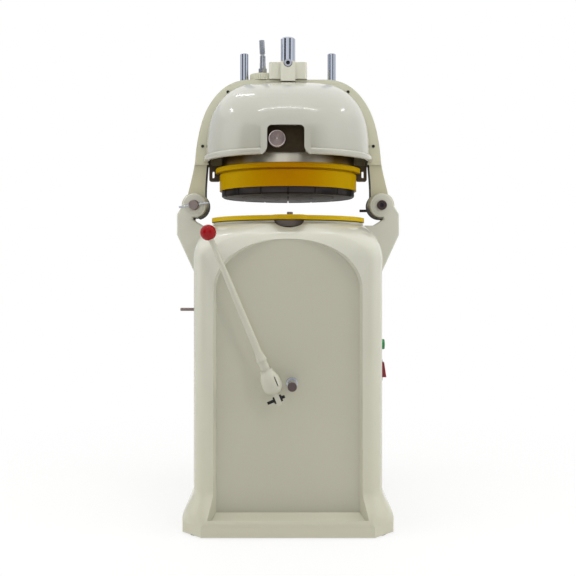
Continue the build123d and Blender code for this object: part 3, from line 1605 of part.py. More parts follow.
with BuildPart() as main_switch:
    rocker_w = pocket_w - 2 * free_gap
    with BuildSketch(forward(0, control_y + rocker_w / 2, 0)) as rocker:
        with BuildLine():
            Polyline(
                (pivot_x - rocker_back, switch_z - rocker_half),
                (side_x + rocker_low_out, switch_z - rocker_half),
                (side_x + rocker_top_out, switch_z + rocker_half),
                (pivot_x - rocker_back, switch_z + rocker_half),
                close=True,
            )
        make_face()
    extrude(rocker.sketch, amount=rocker_w)
    pivot_plane = forward(pivot_x, control_y + rocker_w / 2, switch_z)
    bar(pivot_plane, switch_pin_r + run_gap, rocker_w, Mode.SUBTRACT)
main_switch.part.label = "main_switch"
export_step(main_switch.part, "parts/main_switch.step")

# Cable gland in the rear wall
with BuildPart() as cable_gland:
    gland_back = body_rear + gland_hex_t + gland_dome_l
    bar(forward(gland_x, gland_back, gland_z), gland_r, gland_dome_l + gland_hex_t + wall + gland_in)
    flats(forward(gland_x, body_rear + gland_hex_t, gland_z), gland_hex, 6, gland_hex_t)
    bar(
        forward(gland_x, gland_back, gland_z),
        gland_bore_r,
        gland_dome_l + gland_hex_t + wall + gland_in,
        Mode.SUBTRACT,
    )
cable_gland.part.label = "cable_gland"
export_step(cable_gland.part, "parts/cable_gland.step")
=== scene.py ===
import math

import bmesh
import bpy
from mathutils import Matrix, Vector


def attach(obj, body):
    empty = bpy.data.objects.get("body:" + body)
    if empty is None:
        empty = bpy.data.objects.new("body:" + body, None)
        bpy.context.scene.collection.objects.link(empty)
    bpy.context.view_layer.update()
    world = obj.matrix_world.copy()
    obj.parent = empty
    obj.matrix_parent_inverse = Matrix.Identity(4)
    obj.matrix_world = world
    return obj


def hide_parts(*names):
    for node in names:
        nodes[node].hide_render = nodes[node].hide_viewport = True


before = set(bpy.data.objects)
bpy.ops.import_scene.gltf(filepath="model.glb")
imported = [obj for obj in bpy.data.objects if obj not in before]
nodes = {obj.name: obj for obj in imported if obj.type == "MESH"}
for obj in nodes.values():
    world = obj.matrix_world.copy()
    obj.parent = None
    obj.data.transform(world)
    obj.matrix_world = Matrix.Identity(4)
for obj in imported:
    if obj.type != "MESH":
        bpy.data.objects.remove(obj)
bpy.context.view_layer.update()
print("frame loaded,", len(nodes), "nodes")

# camera at the photograph's place: level, in front of the press and a hand's breadth below the plate
cameraView = {"place": (0.0, -2.6, 0.722), "focalPx": 876.0, "imagePx": 576.0, "horizonPx": 264.0,
              "sensorMm": 36.0, "farthest": 50.0}
cameraData = bpy.data.cameras.new("studioCamera")
cameraData.sensor_width = cameraView["sensorMm"]
cameraData.lens = cameraView["sensorMm"] * cameraView["focalPx"] / cameraView["imagePx"]
cameraData.shift_y = (cameraView["horizonPx"] - cameraView["imagePx"] / 2) / cameraView["imagePx"]
cameraData.clip_end = cameraView["farthest"]
camera = bpy.data.objects.new("studioCamera", cameraData)
camera.location = cameraView["place"]
camera.rotation_euler = (math.radians(90), 0, 0)  # level, towards the back
bpy.context.scene.collection.objects.link(camera)
bpy.context.scene.camera = camera
bpy.context.scene.view_settings.view_transform = "Standard"
print("camera set")


def toLinear(hexColour):
    channels = [int(hexColour[i:i + 2], 16) / 255 for i in (1, 3, 5)]
    return tuple(c / 12.92 if c <= 0.04045 else ((c + 0.055) / 1.055) ** 2.4 for c in channels) + (1.0,)


def addNode(tree, kind, inputs=None, **settings):
    node = tree.nodes.new(kind)
    for key, value in settings.items():
        setattr(node, key, value)
    for key, value in (inputs or {}).items():
        if isinstance(value, bpy.types.NodeSocket):
            tree.links.new(value, node.inputs[key])
        else:
            node.inputs[key].default_value = value
    return node


def startMaterial(name, **sockets):
    material = bpy.data.materials.new(name)
    material.use_nodes = True
    tree = material.node_tree
    tree.nodes.clear()
    shader = addNode(tree, "ShaderNodeBsdfPrincipled", sockets)
    addNode(tree, "ShaderNodeOutputMaterial", {"Surface": shader.outputs[0]})
    place = addNode(tree, "ShaderNodeTexCoord").outputs["Object"]  # metres in the machine's own frame
    return material, tree, shader, place


def perMetre(sizeMm):
    return 1000.0 / sizeMm


# where a Mix node for colours takes its share and its two colours, and where it gives the result
mixShare, mixFirst, mixSecond, mixResult = 0, 6, 7, 2

# most of a noise's values lie in this band, and the gloss of paint and plastic wanders with it
noiseBand = {"low": 0.3, "high": 0.7, "glossier": 0.03, "duller": 0.04}

# the hinge pin's axis at the right, in metres; the lock screw's at the left mirrors it
hingePin = {"x": 0.2725, "z": 0.893}

# Sprayed enamel on cast iron: an even satin cream, painted darker and warmer lower down as shade, dust and
# painted shade in the seams, soft orange peel in the reflections. Mottle and peel are drawn a few times coarser
# than life to show.
enamelFinish = {
    "colour": "#C6C5B7", "shade": "#C2C1B1", "low": "#C0BEAA", "seam": "#857D60", "seamShare": 0.45,
    "roughness": 0.34, "coat": 0.35, "coatRoughness": 0.06, "specular": 0.35, "metallic": 0.0,
    "mottleMm": 240.0, "sheenMm": 70.0, "peelMm": 9.0, "peelDepthMm": 0.02, "seamReachMm": 14.0,
    "lowFrom": 0.75, "lowTo": 0.05,
}
sprayedCoat = {"ior": 1.5, "seamShut": 0.2, "seamOpen": 0.75, "seamSamples": 12, "peelStrength": 0.25}


def sprayedEnamel(name, finish):
    material, tree, shader, place = startMaterial(name, **{
        "IOR": sprayedCoat["ior"], "Coat Weight": finish["coat"], "Coat Roughness": finish["coatRoughness"],
        "Specular IOR Level": finish["specular"], "Metallic": finish["metallic"]})
    axes = addNode(tree, "ShaderNodeSeparateXYZ", {"Vector": place}).outputs
    mottle = addNode(tree, "ShaderNodeTexNoise", {
        "Vector": place, "Scale": perMetre(finish["mottleMm"]), "Detail": 3.0, "Roughness": 0.5})
    tone = addNode(tree, "ShaderNodeMix", {
        mixShare: mottle.outputs["Fac"], mixFirst: toLinear(finish["colour"]),
        mixSecond: toLinear(finish["shade"])}, data_type="RGBA")
    # painted shade: the colour turns darker and warmer lower down on the machine
    if "low" in finish:
        depth = addNode(tree, "ShaderNodeMapRange", {
            "Value": axes["Z"], "From Min": finish["lowFrom"], "From Max": finish["lowTo"]})
        tone = addNode(tree, "ShaderNodeMix", {
            mixShare: depth.outputs[0], mixFirst: tone.outputs[mixResult],
            mixSecond: toLinear(finish["low"])}, data_type="RGBA")
    if "lit" in finish:  # painted light: the yellow is painted purer at the sides and more orange in front, as the light falls on it
        offMiddle = addNode(tree, "ShaderNodeMath", {0: axes["X"]}, operation="ABSOLUTE")
        litShare = addNode(tree, "ShaderNodeMapRange", {
            "Value": offMiddle.outputs[0], "From Min": finish["litFrom"], "From Max": finish["litTo"]})
        tone = addNode(tree, "ShaderNodeMix", {
            mixShare: litShare.outputs[0], mixFirst: tone.outputs[mixResult],
            mixSecond: toLinear(finish["lit"])}, data_type="RGBA")
    if "recess" in finish:  # painted shade: the recessed panel is a shade darker than the frame round it
        recess = finish["recess"]
        normal = addNode(tree, "ShaderNodeTexCoord").outputs["Normal"]  # the surface's own direction
        facing = addNode(tree, "ShaderNodeSeparateXYZ", {"Vector": normal}).outputs
        flat = addNode(tree, "ShaderNodeMapRange", {
            "Value": facing["Y"], "From Min": recess["flatFrom"], "From Max": recess["flatTo"]})
        deep = addNode(tree, "ShaderNodeMapRange", {
            "Value": axes["Y"], "From Min": recess["deepFrom"], "From Max": recess["deepTo"]})
        below = addNode(tree, "ShaderNodeMapRange", {
            "Value": axes["Z"], "From Min": recess["top"], "From Max": recess["top"] - recess["topFade"]})
        sunk = addNode(tree, "ShaderNodeMath", {
            0: flat.outputs[0], 1: deep.outputs[0]}, operation="MULTIPLY")
        panel = addNode(tree, "ShaderNodeMath", {
            0: sunk.outputs[0], 1: below.outputs[0]}, operation="MULTIPLY")
        tone = addNode(tree, "ShaderNodeMix", {
            mixShare: panel.outputs[0], mixFirst: tone.outputs[mixResult],
            mixSecond: toLinear(recess["colour"])}, data_type="RGBA")
    if "paintedShade" in finish:  # painted shade: browner and darker below both axes, on their side towards the press
        paintedShade = finish["paintedShade"]
        side = addNode(tree, "ShaderNodeMath", {0: axes["X"]}, operation="ABSOLUTE")
        inward = addNode(tree, "ShaderNodeMath", {
            0: side.outputs[0], 1: hingePin["x"]}, operation="SUBTRACT")
        above = addNode(tree, "ShaderNodeMath", {0: axes["Z"], 1: hingePin["z"]}, operation="SUBTRACT")
        slant = addNode(tree, "ShaderNodeMath", {
            0: inward.outputs[0], 1: above.outputs[0]}, operation="MAXIMUM")
        run = addNode(tree, "ShaderNodeMapRange", {
            "Value": slant.outputs[0], "From Min": paintedShade["from"], "From Max": paintedShade["to"]})
        tone = addNode(tree, "ShaderNodeMix", {
            mixShare: run.outputs[0], mixFirst: tone.outputs[mixResult],
            mixSecond: toLinear(paintedShade["colour"])}, data_type="RGBA")
    # dust and painted shade: darker where ambient occlusion finds creases and seams
    crease = addNode(tree, "ShaderNodeAmbientOcclusion", {
        "Distance": finish["seamReachMm"] / 1000}, samples=sprayedCoat["seamSamples"])
    dustAndShade = addNode(tree, "ShaderNodeMapRange", {
        "Value": crease.outputs["AO"], "From Min": sprayedCoat["seamShut"], "From Max": sprayedCoat["seamOpen"],
        "To Min": finish["seamShare"], "To Max": 0.0})
    dustyShaded = addNode(tree, "ShaderNodeMix", {
        mixShare: dustAndShade.outputs[0], mixFirst: tone.outputs[mixResult],
        mixSecond: toLinear(finish["seam"])}, data_type="RGBA")
    tree.links.new(dustyShaded.outputs[mixResult], shader.inputs["Base Color"])
    sheen = addNode(tree, "ShaderNodeTexNoise", {
        "Vector": place, "Scale": perMetre(finish["sheenMm"]), "Detail": 2.0})
    gloss = addNode(tree, "ShaderNodeMapRange", {
        "Value": sheen.outputs["Fac"], "From Min": noiseBand["low"], "From Max": noiseBand["high"],
        "To Min": finish["roughness"] - noiseBand["glossier"],
        "To Max": finish["roughness"] + noiseBand["duller"]})
    tree.links.new(gloss.outputs[0], shader.inputs["Roughness"])
    peel = addNode(tree, "ShaderNodeTexNoise", {
        "Vector": place, "Scale": perMetre(finish["peelMm"]), "Detail": 1.0, "Roughness": 0.4})
    relief = addNode(tree, "ShaderNodeBump", {
        "Height": peel.outputs["Fac"], "Strength": sprayedCoat["peelStrength"],
        "Distance": finish["peelDepthMm"] / 1000})
    tree.links.new(relief.outputs[0], shader.inputs["Normal"])
    return material


# The cabinet's casting: the same enamel, painted darker in the recessed panel and lower down as shade
cabinetFinish = dict(enamelFinish, coat=0.6, coatRoughness=0.05, seamShare=0.2, low="#BEBCA7", recess={
    "colour": "#B2AF9C", "flatFrom": -0.97, "flatTo": -0.995, "deepFrom": -0.268, "deepTo": -0.2595,
    "top": 0.80, "topFade": 0.01})

# The yoke's casting: the same enamel with painted shade, darker and warmer towards the hinges and browned below
# the pins
yokeFinish = dict(enamelFinish, colour="#D2D1BD", shade="#CDCCB6", low="#BCB89B", lowFrom=1.20, lowTo=1.02,
                  paintedShade={"colour": "#57503F", "from": 0.004, "to": -0.012})

# The guide block: the same enamel coloured paler, the palest casting on the machine
blockFinish = dict(enamelFinish, colour="#D1D0C0", shade="#CCCBBA", low="#CCCBBA")

# The hand lever: the same enamel, greyed by handling
leverFinish = dict(enamelFinish, colour="#BEBCAD", shade="#B6B4A3", low="#B6B4A3", mottleMm=40.0)

# The cover's flat flange: nearly the yoke's cream, left satin, painted darker and warmer lower down as shade
flangeFinish = dict(enamelFinish, colour="#C7C6B0", shade="#C2C1AA", low="#BEBBA0", lowFrom=1.20, lowTo=1.02)

# Polished enamel on the covers: a wet-looking gloss with long soft reflections, painted shade lower down and in
# the creases
coverFinish = dict(enamelFinish, colour="#AFAEA3", shade="#ABAA9E", low="#ACAA9B", lowFrom=1.10, lowTo=0.98,
                   roughness=0.20, coat=0.8, coatRoughness=0.04, specular=0.5, peelMm=30.0, seamShare=0.5,
                   seamReachMm=20.0)

# Yellow enamel on the casing ring: deep, hardly any white in its gloss; painted light on the sides, painted
# shade in seams
ringFinish = {
    "colour": "#B58000", "shade": "#A87000", "lit": "#B28D00", "litFrom": 0.04, "litTo": 0.15,
    "seam": "#4E3404", "seamShare": 0.35, "roughness": 0.34, "coat": 0.0, "coatRoughness": 0.1,
    "specular": 0.01, "metallic": 0.0, "mottleMm": 60.0, "sheenMm": 70.0, "peelMm": 7.0,
    "peelDepthMm": 0.02, "seamReachMm": 9.0,
}

# Moulded polyethylene board: waxy satin yellow, a little uneven from scrubbing, painted light on its sides
boardFinish = dict(ringFinish, colour="#BE9C0C", shade="#B08E0A", lit="#C4A410", roughness=0.42,
                   specular=0.06, mottleMm=45.0)

# Grey machine paint on sheet steel: flat satin, evenly sprayed
sheetFinish = {
    "colour": "#BAB8AB", "shade": "#B3B1A2", "seam": "#77725F", "seamShare": 0.4, "roughness": 0.45,
    "coat": 0.0, "coatRoughness": 0.1, "specular": 0.4, "metallic": 0.0, "mottleMm": 150.0,
    "sheenMm": 70.0, "peelMm": 6.0, "peelDepthMm": 0.02, "seamReachMm": 10.0,
}

# Blue-grey machine paint on the bought-in motor, pump and valve: dull, with painted shade in the seams
motorFinish = dict(sheetFinish, colour="#5C6B73", shade="#52606A", seam="#2A2E31")

# Painted shade on the castings beside the hinges: nearly black, and too dull to mirror the room
shadeFilmFinish = dict(sheetFinish, colour="#35302A", shade="#26221E", seam="#171512", roughness=0.6,
                 specular=0.06, mottleMm=12.0)


# Bare metals: reflection tinted by the metal, broken by the lines of the last tool that cut it.
# Tool lines are drawn about ten times coarser than life to show.
metalFinish = {
    "hardChromeSteel": {"colour": "#C6CBD6", "dull": "#BCC1CC", "roughness": 0.06, "spread": 0.04,
                        "lineMm": 2.0, "stretch": (1, 1, 12), "depthMm": 0.0},
    "groundSteel": {"colour": "#BFC2C8", "dull": "#A6A9AE", "roughness": 0.20, "spread": 0.08,
                    "lineMm": 1.5, "stretch": (1, 12, 1), "depthMm": 0.01},
    "turnedSteel": {"colour": "#8D7F7A", "dull": "#7C6E6A", "roughness": 0.34, "spread": 0.10,
                    "lineMm": 1.5, "stretch": (1, 14, 1), "depthMm": 0.02},
    "polishedKnobSteel": {"colour": "#CFC2BF", "dull": "#BFB1AE", "roughness": 0.24, "spread": 0.08,
                          "lineMm": 1.5, "stretch": (1, 14, 1), "depthMm": 0.02},
    # the carrier's pale middle and dark brown flanks are painted light and shade: lit in the middle, shaded and
    # yellowed at the sides
    "carrierSteel": {"colour": "#DAD4C2", "dull": "#C4BDA9", "roughness": 0.30, "spread": 0.10,
                     "lineMm": 2.0, "stretch": (1, 1, 16), "depthMm": 0.02,
                     "flank": "#6E5626", "flankFrom": 0.05, "flankTo": 0.13},
    "blackOxideSteel": {"colour": "#39383A", "dull": "#2F2E30", "roughness": 0.38, "spread": 0.10,
                        "lineMm": 2.0, "stretch": (1, 1, 1), "depthMm": 0.02},
    "brownedSteel": {"colour": "#524644", "dull": "#453A38", "roughness": 0.40, "spread": 0.10,
                     "lineMm": 2.0, "stretch": (1, 1, 1), "depthMm": 0.02},
    "zincPlatedSteel": {"colour": "#8C8A83", "dull": "#7B7972", "roughness": 0.32, "spread": 0.10,
                        "lineMm": 2.0, "stretch": (1, 1, 1), "depthMm": 0.02},
    "scouredPressSteel": {"colour": "#262324", "dull": "#494444", "roughness": 0.46, "spread": 0.20,
                          "lineMm": 3.0, "stretch": (8, 1, 1), "depthMm": 0.05},
    "oiledCastIron": {"colour": "#4C4232", "dull": "#3C3428", "roughness": 0.55, "spread": 0.14,
                      "lineMm": 4.0, "stretch": (1, 1, 1), "depthMm": 0.12},
    "machinedCastIron": {"colour": "#8E8580", "dull": "#7C736E", "roughness": 0.45, "spread": 0.12,
                         "lineMm": 2.0, "stretch": (12, 1, 1), "depthMm": 0.03},
    "forgedHangerSteel": {"colour": "#5E5240", "dull": "#4A4032", "roughness": 0.45, "spread": 0.12,
                          "lineMm": 2.0, "stretch": (1, 1, 10), "depthMm": 0.02},
}
toolMarks = {"strength": 0.35, "wearMm": 40.0, "wearFrom": 0.35, "wearTo": 0.65}


def bareMetal(name):
    finish = metalFinish[name]
    material, tree, shader, place = startMaterial(name, **{"Metallic": 1.0})
    along = addNode(tree, "ShaderNodeMapping", {
        "Vector": place, "Scale": tuple(1 / s for s in finish["stretch"])})
    lines = addNode(tree, "ShaderNodeTexNoise", {
        "Vector": along.outputs[0], "Scale": perMetre(finish["lineMm"]), "Detail": 4.0, "Roughness": 0.6})
    wear = addNode(tree, "ShaderNodeTexNoise", {
        "Vector": along.outputs[0], "Scale": perMetre(toolMarks["wearMm"]), "Detail": 4.0})
    share = addNode(tree, "ShaderNodeMapRange", {
        "Value": wear.outputs["Fac"], "From Min": toolMarks["wearFrom"], "From Max": toolMarks["wearTo"]})
    tone = addNode(tree, "ShaderNodeMix", {
        mixShare: share.outputs[0], mixFirst: toLinear(finish["colour"]),
        mixSecond: toLinear(finish["dull"])}, data_type="RGBA")
    if "flank" in finish:  # painted shade: the sides turn dark brown, as shade and the yellow ring's reflection fall there
        across = addNode(tree, "ShaderNodeMath", {
            0: addNode(tree, "ShaderNodeSeparateXYZ", {"Vector": place}).outputs["X"]}, operation="ABSOLUTE")
        paintedShade = addNode(tree, "ShaderNodeMapRange", {
            "Value": across.outputs[0], "From Min": finish["flankFrom"], "From Max": finish["flankTo"]})
        tone = addNode(tree, "ShaderNodeMix", {
            mixShare: paintedShade.outputs[0], mixFirst: tone.outputs[mixResult],
            mixSecond: toLinear(finish["flank"])}, data_type="RGBA")
    tree.links.new(tone.outputs[mixResult], shader.inputs["Base Color"])
    gloss = addNode(tree, "ShaderNodeMapRange", {
        "Value": lines.outputs["Fac"], "From Min": noiseBand["low"], "From Max": noiseBand["high"],
        "To Min": finish["roughness"], "To Max": finish["roughness"] + finish["spread"]})
    tree.links.new(gloss.outputs[0], shader.inputs["Roughness"])
    if finish["depthMm"]:
        relief = addNode(tree, "ShaderNodeBump", {
            "Height": lines.outputs["Fac"], "Strength": toolMarks["strength"],
            "Distance": finish["depthMm"] / 1000})
        tree.links.new(relief.outputs[0], shader.inputs["Normal"])
    return material


# Moulded plastics and rubber: colour in the body, gloss on the skin, a fine moulding texture
mouldedFinish = {
    "redPhenolic": {"colour": "#9A0C12", "shade": "#880A0F", "roughness": 0.09, "specular": 0.22,
                    "grainMm": 9.0, "depthMm": 0.01},
    "redSwitchAbs": {"colour": "#8E1418", "shade": "#7A0F13", "roughness": 0.25, "specular": 0.4,
                     "grainMm": 3.0, "depthMm": 0.02},
    "greenAbs": {"colour": "#14924A", "shade": "#0F7A3C", "roughness": 0.22, "specular": 0.4,
                 "grainMm": 3.0, "depthMm": 0.02},
    "blackAbs": {"colour": "#222222", "shade": "#1A1A1A", "roughness": 0.42, "specular": 0.4,
                 "grainMm": 2.0, "depthMm": 0.04},
    "blackRubber": {"colour": "#232221", "shade": "#191817", "roughness": 0.72, "specular": 0.3,
                    "grainMm": 2.5, "depthMm": 0.08},
    "brownBufferRubber": {"colour": "#5A4D4C", "shade": "#4C4140", "roughness": 0.65, "specular": 0.3,
                          "grainMm": 2.5, "depthMm": 0.05},
}
mouldedSkin = {"ior": 1.52, "grainStrength": 0.3}


def mouldedPlastic(name):
    finish = mouldedFinish[name]
    material, tree, shader, place = startMaterial(name, **{
        "IOR": mouldedSkin["ior"], "Specular IOR Level": finish["specular"]})
    grain = addNode(tree, "ShaderNodeTexNoise", {
        "Vector": place, "Scale": perMetre(finish["grainMm"]), "Detail": 3.0, "Roughness": 0.5})
    tone = addNode(tree, "ShaderNodeMix", {
        mixShare: grain.outputs["Fac"], mixFirst: toLinear(finish["colour"]),
        mixSecond: toLinear(finish["shade"])}, data_type="RGBA")
    tree.links.new(tone.outputs[mixResult], shader.inputs["Base Color"])
    gloss = addNode(tree, "ShaderNodeMapRange", {
        "Value": grain.outputs["Fac"], "From Min": noiseBand["low"], "From Max": noiseBand["high"],
        "To Min": finish["roughness"] - noiseBand["glossier"],
        "To Max": finish["roughness"] + noiseBand["duller"]})
    tree.links.new(gloss.outputs[0], shader.inputs["Roughness"])
    relief = addNode(tree, "ShaderNodeBump", {
        "Height": grain.outputs["Fac"], "Strength": mouldedSkin["grainStrength"],
        "Distance": finish["depthMm"] / 1000})
    tree.links.new(relief.outputs[0], shader.inputs["Normal"])
    return material


cabinetEnamel = sprayedEnamel("cabinetEnamel", cabinetFinish)
castingEnamel = sprayedEnamel("castingEnamel", enamelFinish)
yokeEnamel = sprayedEnamel("yokeEnamel", yokeFinish)
blockEnamel = sprayedEnamel("blockEnamel", blockFinish)
leverEnamel = sprayedEnamel("leverEnamel", leverFinish)
flangeEnamel = sprayedEnamel("flangeEnamel", flangeFinish)
coverEnamel = sprayedEnamel("polishedCoverEnamel", coverFinish)
yellowEnamel = sprayedEnamel("yellowRingEnamel", ringFinish)
yellowBoard = sprayedEnamel("yellowPolyethyleneBoard", boardFinish)
sheetPaint = sprayedEnamel("greySheetPaint", sheetFinish)
motorPaint = sprayedEnamel("blueGreyMotorPaint", motorFinish)
shadeFilm = sprayedEnamel("paintedShadeFilm", shadeFilmFinish)
metals = {name: bareMetal(name) for name in metalFinish}
plastics = {name: mouldedPlastic(name) for name in mouldedFinish}

# which finish each piece wears, and how far its edges are eased in millimetres
wearing = {
    cabinetEnamel: {"cabinet_shell": 2.0},
    castingEnamel: {"left_arm": 1.5, "right_arm": 1.5, "hinge_washer": 0.3},
    blockEnamel: {"spindle_block": 2.0},
    leverEnamel: {"lever_hub": 1.0, "lever_rod": 0.8},
    yokeEnamel: {"head_yoke": 1.5},
    coverEnamel: {"front_cover": 1.5, "rear_hood": 1.5},
    yellowEnamel: {"casing_ring": 0.8},
    yellowBoard: {"rounding_plate": 1.5},
    sheetPaint: {"rear_panel": 0.5, "base_plate": 0.5, "drive_deck": 0.5, "oil_tank": 0.5},
    motorPaint: {"motor": 0.8, "hydraulic_pump": 0.8, "rotary_valve": 0.8},
    metals["hardChromeSteel"]: {"spindle": 0.6, "guide_posts": 0.5},
    metals["groundSteel"]: {"adjuster_handle": 0.2, "adjuster_stem": 0.5, "clamp_screw": 0.5,
                            "tommy_bar": 0.3, "stop_post": 0.4},
    metals["turnedSteel"]: {"lock_screw": 0.6, "plate_stud": 0.4, "side_peg": 0.3, "crank_shaft": 0.5,
                            "lever_shaft": 0.4, "left_idler_crank": 0.5, "right_idler_crank": 0.5},
    metals["machinedCastIron"]: {"table": 0.8},
    metals["polishedKnobSteel"]: {"window_knob": 0.5},
    metals["carrierSteel"]: {"carrier_plate": 1.0, "knife_grid": 0.0},
    metals["forgedHangerSteel"]: {"ring_hangers": 0.6},
    metals["brownedSteel"]: {"hinge_pin": 0.6, "hinge_stop_bolt": 0.4},
    metals["blackOxideSteel"]: {"arm_bolts": 0.5, "adjusting_bolt": 0.4},
    metals["zincPlatedSteel"]: {"cover_screws": 0.4, "rear_panel_screws": 0.4},
    metals["scouredPressSteel"]: {"press_segments": 0.4, "press_spider": 0.5},
    metals["oiledCastIron"]: {"press_cylinder": 0.8, "knob_bracket": 0.8, "drive_bearings": 0.8,
                              "driven_pulley": 0.5, "motor_pulley": 0.5},
    plastics["blackRubber"]: {"feet": 0.6, "drive_belt": 0.4},
    plastics["brownBufferRubber"]: {"stop_buffer": 0.4},
    plastics["redPhenolic"]: {"ball_knob": 0.0},
    plastics["redSwitchAbs"]: {"main_switch": 0.6},
    plastics["greenAbs"]: {"start_button": 0.0},
    plastics["blackAbs"]: {"switch_housing": 0.5, "cable_gland": 0.5, "button_bezel": 0.4},
}
easing = {"weldMm": 0.02, "sharpDegrees": 38, "segments": 2}
for material, pieces in wearing.items():
    for name, easeMm in pieces.items():
        piece = nodes[name]
        piece.data.materials.clear()
        piece.data.materials.append(material)
        for polygon in piece.data.polygons:
            polygon.material_index = 0
        if easeMm:
            weld = piece.modifiers.new("weld", "WELD")
            weld.merge_threshold = easing["weldMm"] / 1000
            ease = piece.modifiers.new("ease", "BEVEL")
            ease.limit_method = "ANGLE"
            ease.angle_limit = math.radians(easing["sharpDegrees"])
            ease.width = easeMm / 1000
            ease.segments = easing["segments"]
            even = piece.modifiers.new("even", "WEIGHTED_NORMAL")  # large faces keep their own direction
            even.keep_sharp = True


# parts of a piece that wear a second finish: painted shade on faces round the hinges, the cover's flange and
# painted shade in the sockets of screws; places in metres, directions as parts of a face's unit normal
shadeSpread = {"reach": 0.0425, "filmTop": 1.035, "rimFront": 0.6, "rimOutward": 0.2, "pressward": -0.3}
coverFlange = {"behind": -0.045, "forward": -0.98}
shadedSockets = {"hinge_pin": dict(hingePin, reach=0.0072, behind=-0.0622),
               "clamp_screw": {"x": 0.0, "z": 1.307, "reach": 0.0066, "behind": -0.0565}}


def shadedFace(middle, facing):
    fromPin = math.hypot(abs(middle.x) - hingePin["x"], middle.z - hingePin["z"])
    outward = facing.x * math.copysign(1, middle.x)
    onRim = abs(facing.y) < shadeSpread["rimFront"] and outward < shadeSpread["rimOutward"]
    towardsPress = outward < shadeSpread["pressward"] and middle.z < shadeSpread["filmTop"]
    return (fromPin < shadeSpread["reach"] and onRim) or towardsPress


def flangeFace(middle, facing):
    return facing.y < coverFlange["forward"] and middle.y > coverFlange["behind"]


def addFinish(name, material, chosen):
    piece = nodes[name]
    piece.data.materials.append(material)
    for polygon in piece.data.polygons:
        if chosen(polygon.center, polygon.normal):
            polygon.material_index = 1


addFinish("head_yoke", shadeFilm, shadedFace)
addFinish("front_cover", flangeEnamel, flangeFace)
# the screws' sockets are painted dark as their shade
for name, socket in shadedSockets.items():
    addFinish(name, metals["blackOxideSteel"], lambda middle, facing: middle.y > socket["behind"]
              and math.hypot(middle.x - socket["x"], middle.z - socket["z"]) < socket["reach"])
unworn = sorted(set(nodes) - {name for pieces in wearing.values() for name in pieces})
print("finishes on", len(nodes) - len(unworn), "nodes, none on", unworn)


def addPiece(name, mesh, body, material):
    bmesh.ops.recalc_face_normals(mesh, faces=mesh.faces)
    data = bpy.data.meshes.new(name)
    mesh.to_mesh(data)
    mesh.free()
    data.materials.append(material)
    piece = bpy.data.objects.new(name, data)
    bpy.context.scene.collection.objects.link(piece)
    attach(piece, body)
    return piece


# screw heads in millimetres: a domed head round a recess for the driver. A recess is a quarter of its
# outline, a dome's rings are shares of radius and height, and places are x, y, z and the way it faces.
crossRecess = ((0.6, 2.5), (0.6, 0.6), (2.5, 0.6))
slotRecess = ((5.2, 0.7),)
screwHeads = {
    "coverScrewHeads": {
        "node": "cover_screws", "body": "head", "finish": "blackOxideSteel", "radius": 4.5, "height": 2.5,
        "recess": crossRecess, "deep": 1.4,
        "places": [(across * x, way * 34.0, z, way) for way in (-1, 1) for across in (-1, 1)
                   for x, z in ((176.0, 1226.0), (250.0, 1067.0))]},
    "rearPanelScrewHeads": {
        "node": "rear_panel_screws", "body": "frame", "finish": "zincPlatedSteel", "radius": 6.0,
        "height": 3.0, "recess": slotRecess, "deep": 1.5,
        "places": [(across * 190.0, 326.0, z, 1) for across in (-1, 1) for z in (162.0, 412.0, 662.0)]},
}
screwDome = {"sides": 32, "rings": ((1.0, 0.0), (1.0, 0.4), (0.97, 0.6), (0.90, 0.8), (0.80, 0.93),
                                    (0.68, 1.0))}


def screwHead(mesh, head, place):
    x, y, z, way = place

    def point(across, rise, up):
        return mesh.verts.new(((x + across) / 1000, (y + way * rise) / 1000, (z + up) / 1000))

    turns = [math.tau * step / screwDome["sides"] for step in range(screwDome["sides"])]
    rings = [[point(head["radius"] * share * math.cos(turn), head["height"] * rise,
                    head["radius"] * share * math.sin(turn)) for turn in turns]
             for share, rise in screwDome["rings"]]
    mesh.faces.new(rings[0])
    for low, high in zip(rings, rings[1:]):
        for step in range(len(turns)):
            after = (step + 1) % len(turns)
            mesh.faces.new((low[step], low[after], high[after], high[step])).smooth = True
    corner = head["recess"]
    outline = [(a, b) for a, b in corner] + [(a, -b) for a, b in reversed(corner)]
    outline += [(-a, -b) for a, b in corner] + [(-a, b) for a, b in reversed(corner)]
    brim = [point(a, head["height"], b) for a, b in outline]
    floor = [point(a, head["height"] - head["deep"], b) for a, b in outline]
    mesh.faces.new(floor)
    edges = []
    for step in range(len(outline)):
        after = (step + 1) % len(outline)
        mesh.faces.new((brim[step], brim[after], floor[after], floor[step]))
        edges.append(mesh.edges.get((brim[step], brim[after])))
    top = rings[-1]
    edges += [mesh.edges.get((top[step], top[(step + 1) % len(top)])) for step in range(len(top))]
    bmesh.ops.triangle_fill(mesh, edges=edges, use_beauty=True)


for name, head in screwHeads.items():
    mesh = bmesh.new()
    for place in head["places"]:
        screwHead(mesh, head, place)
    heads = addPiece(name, mesh, head["body"], metals[head["finish"]])
    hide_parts(head["node"])
print("screw heads made")

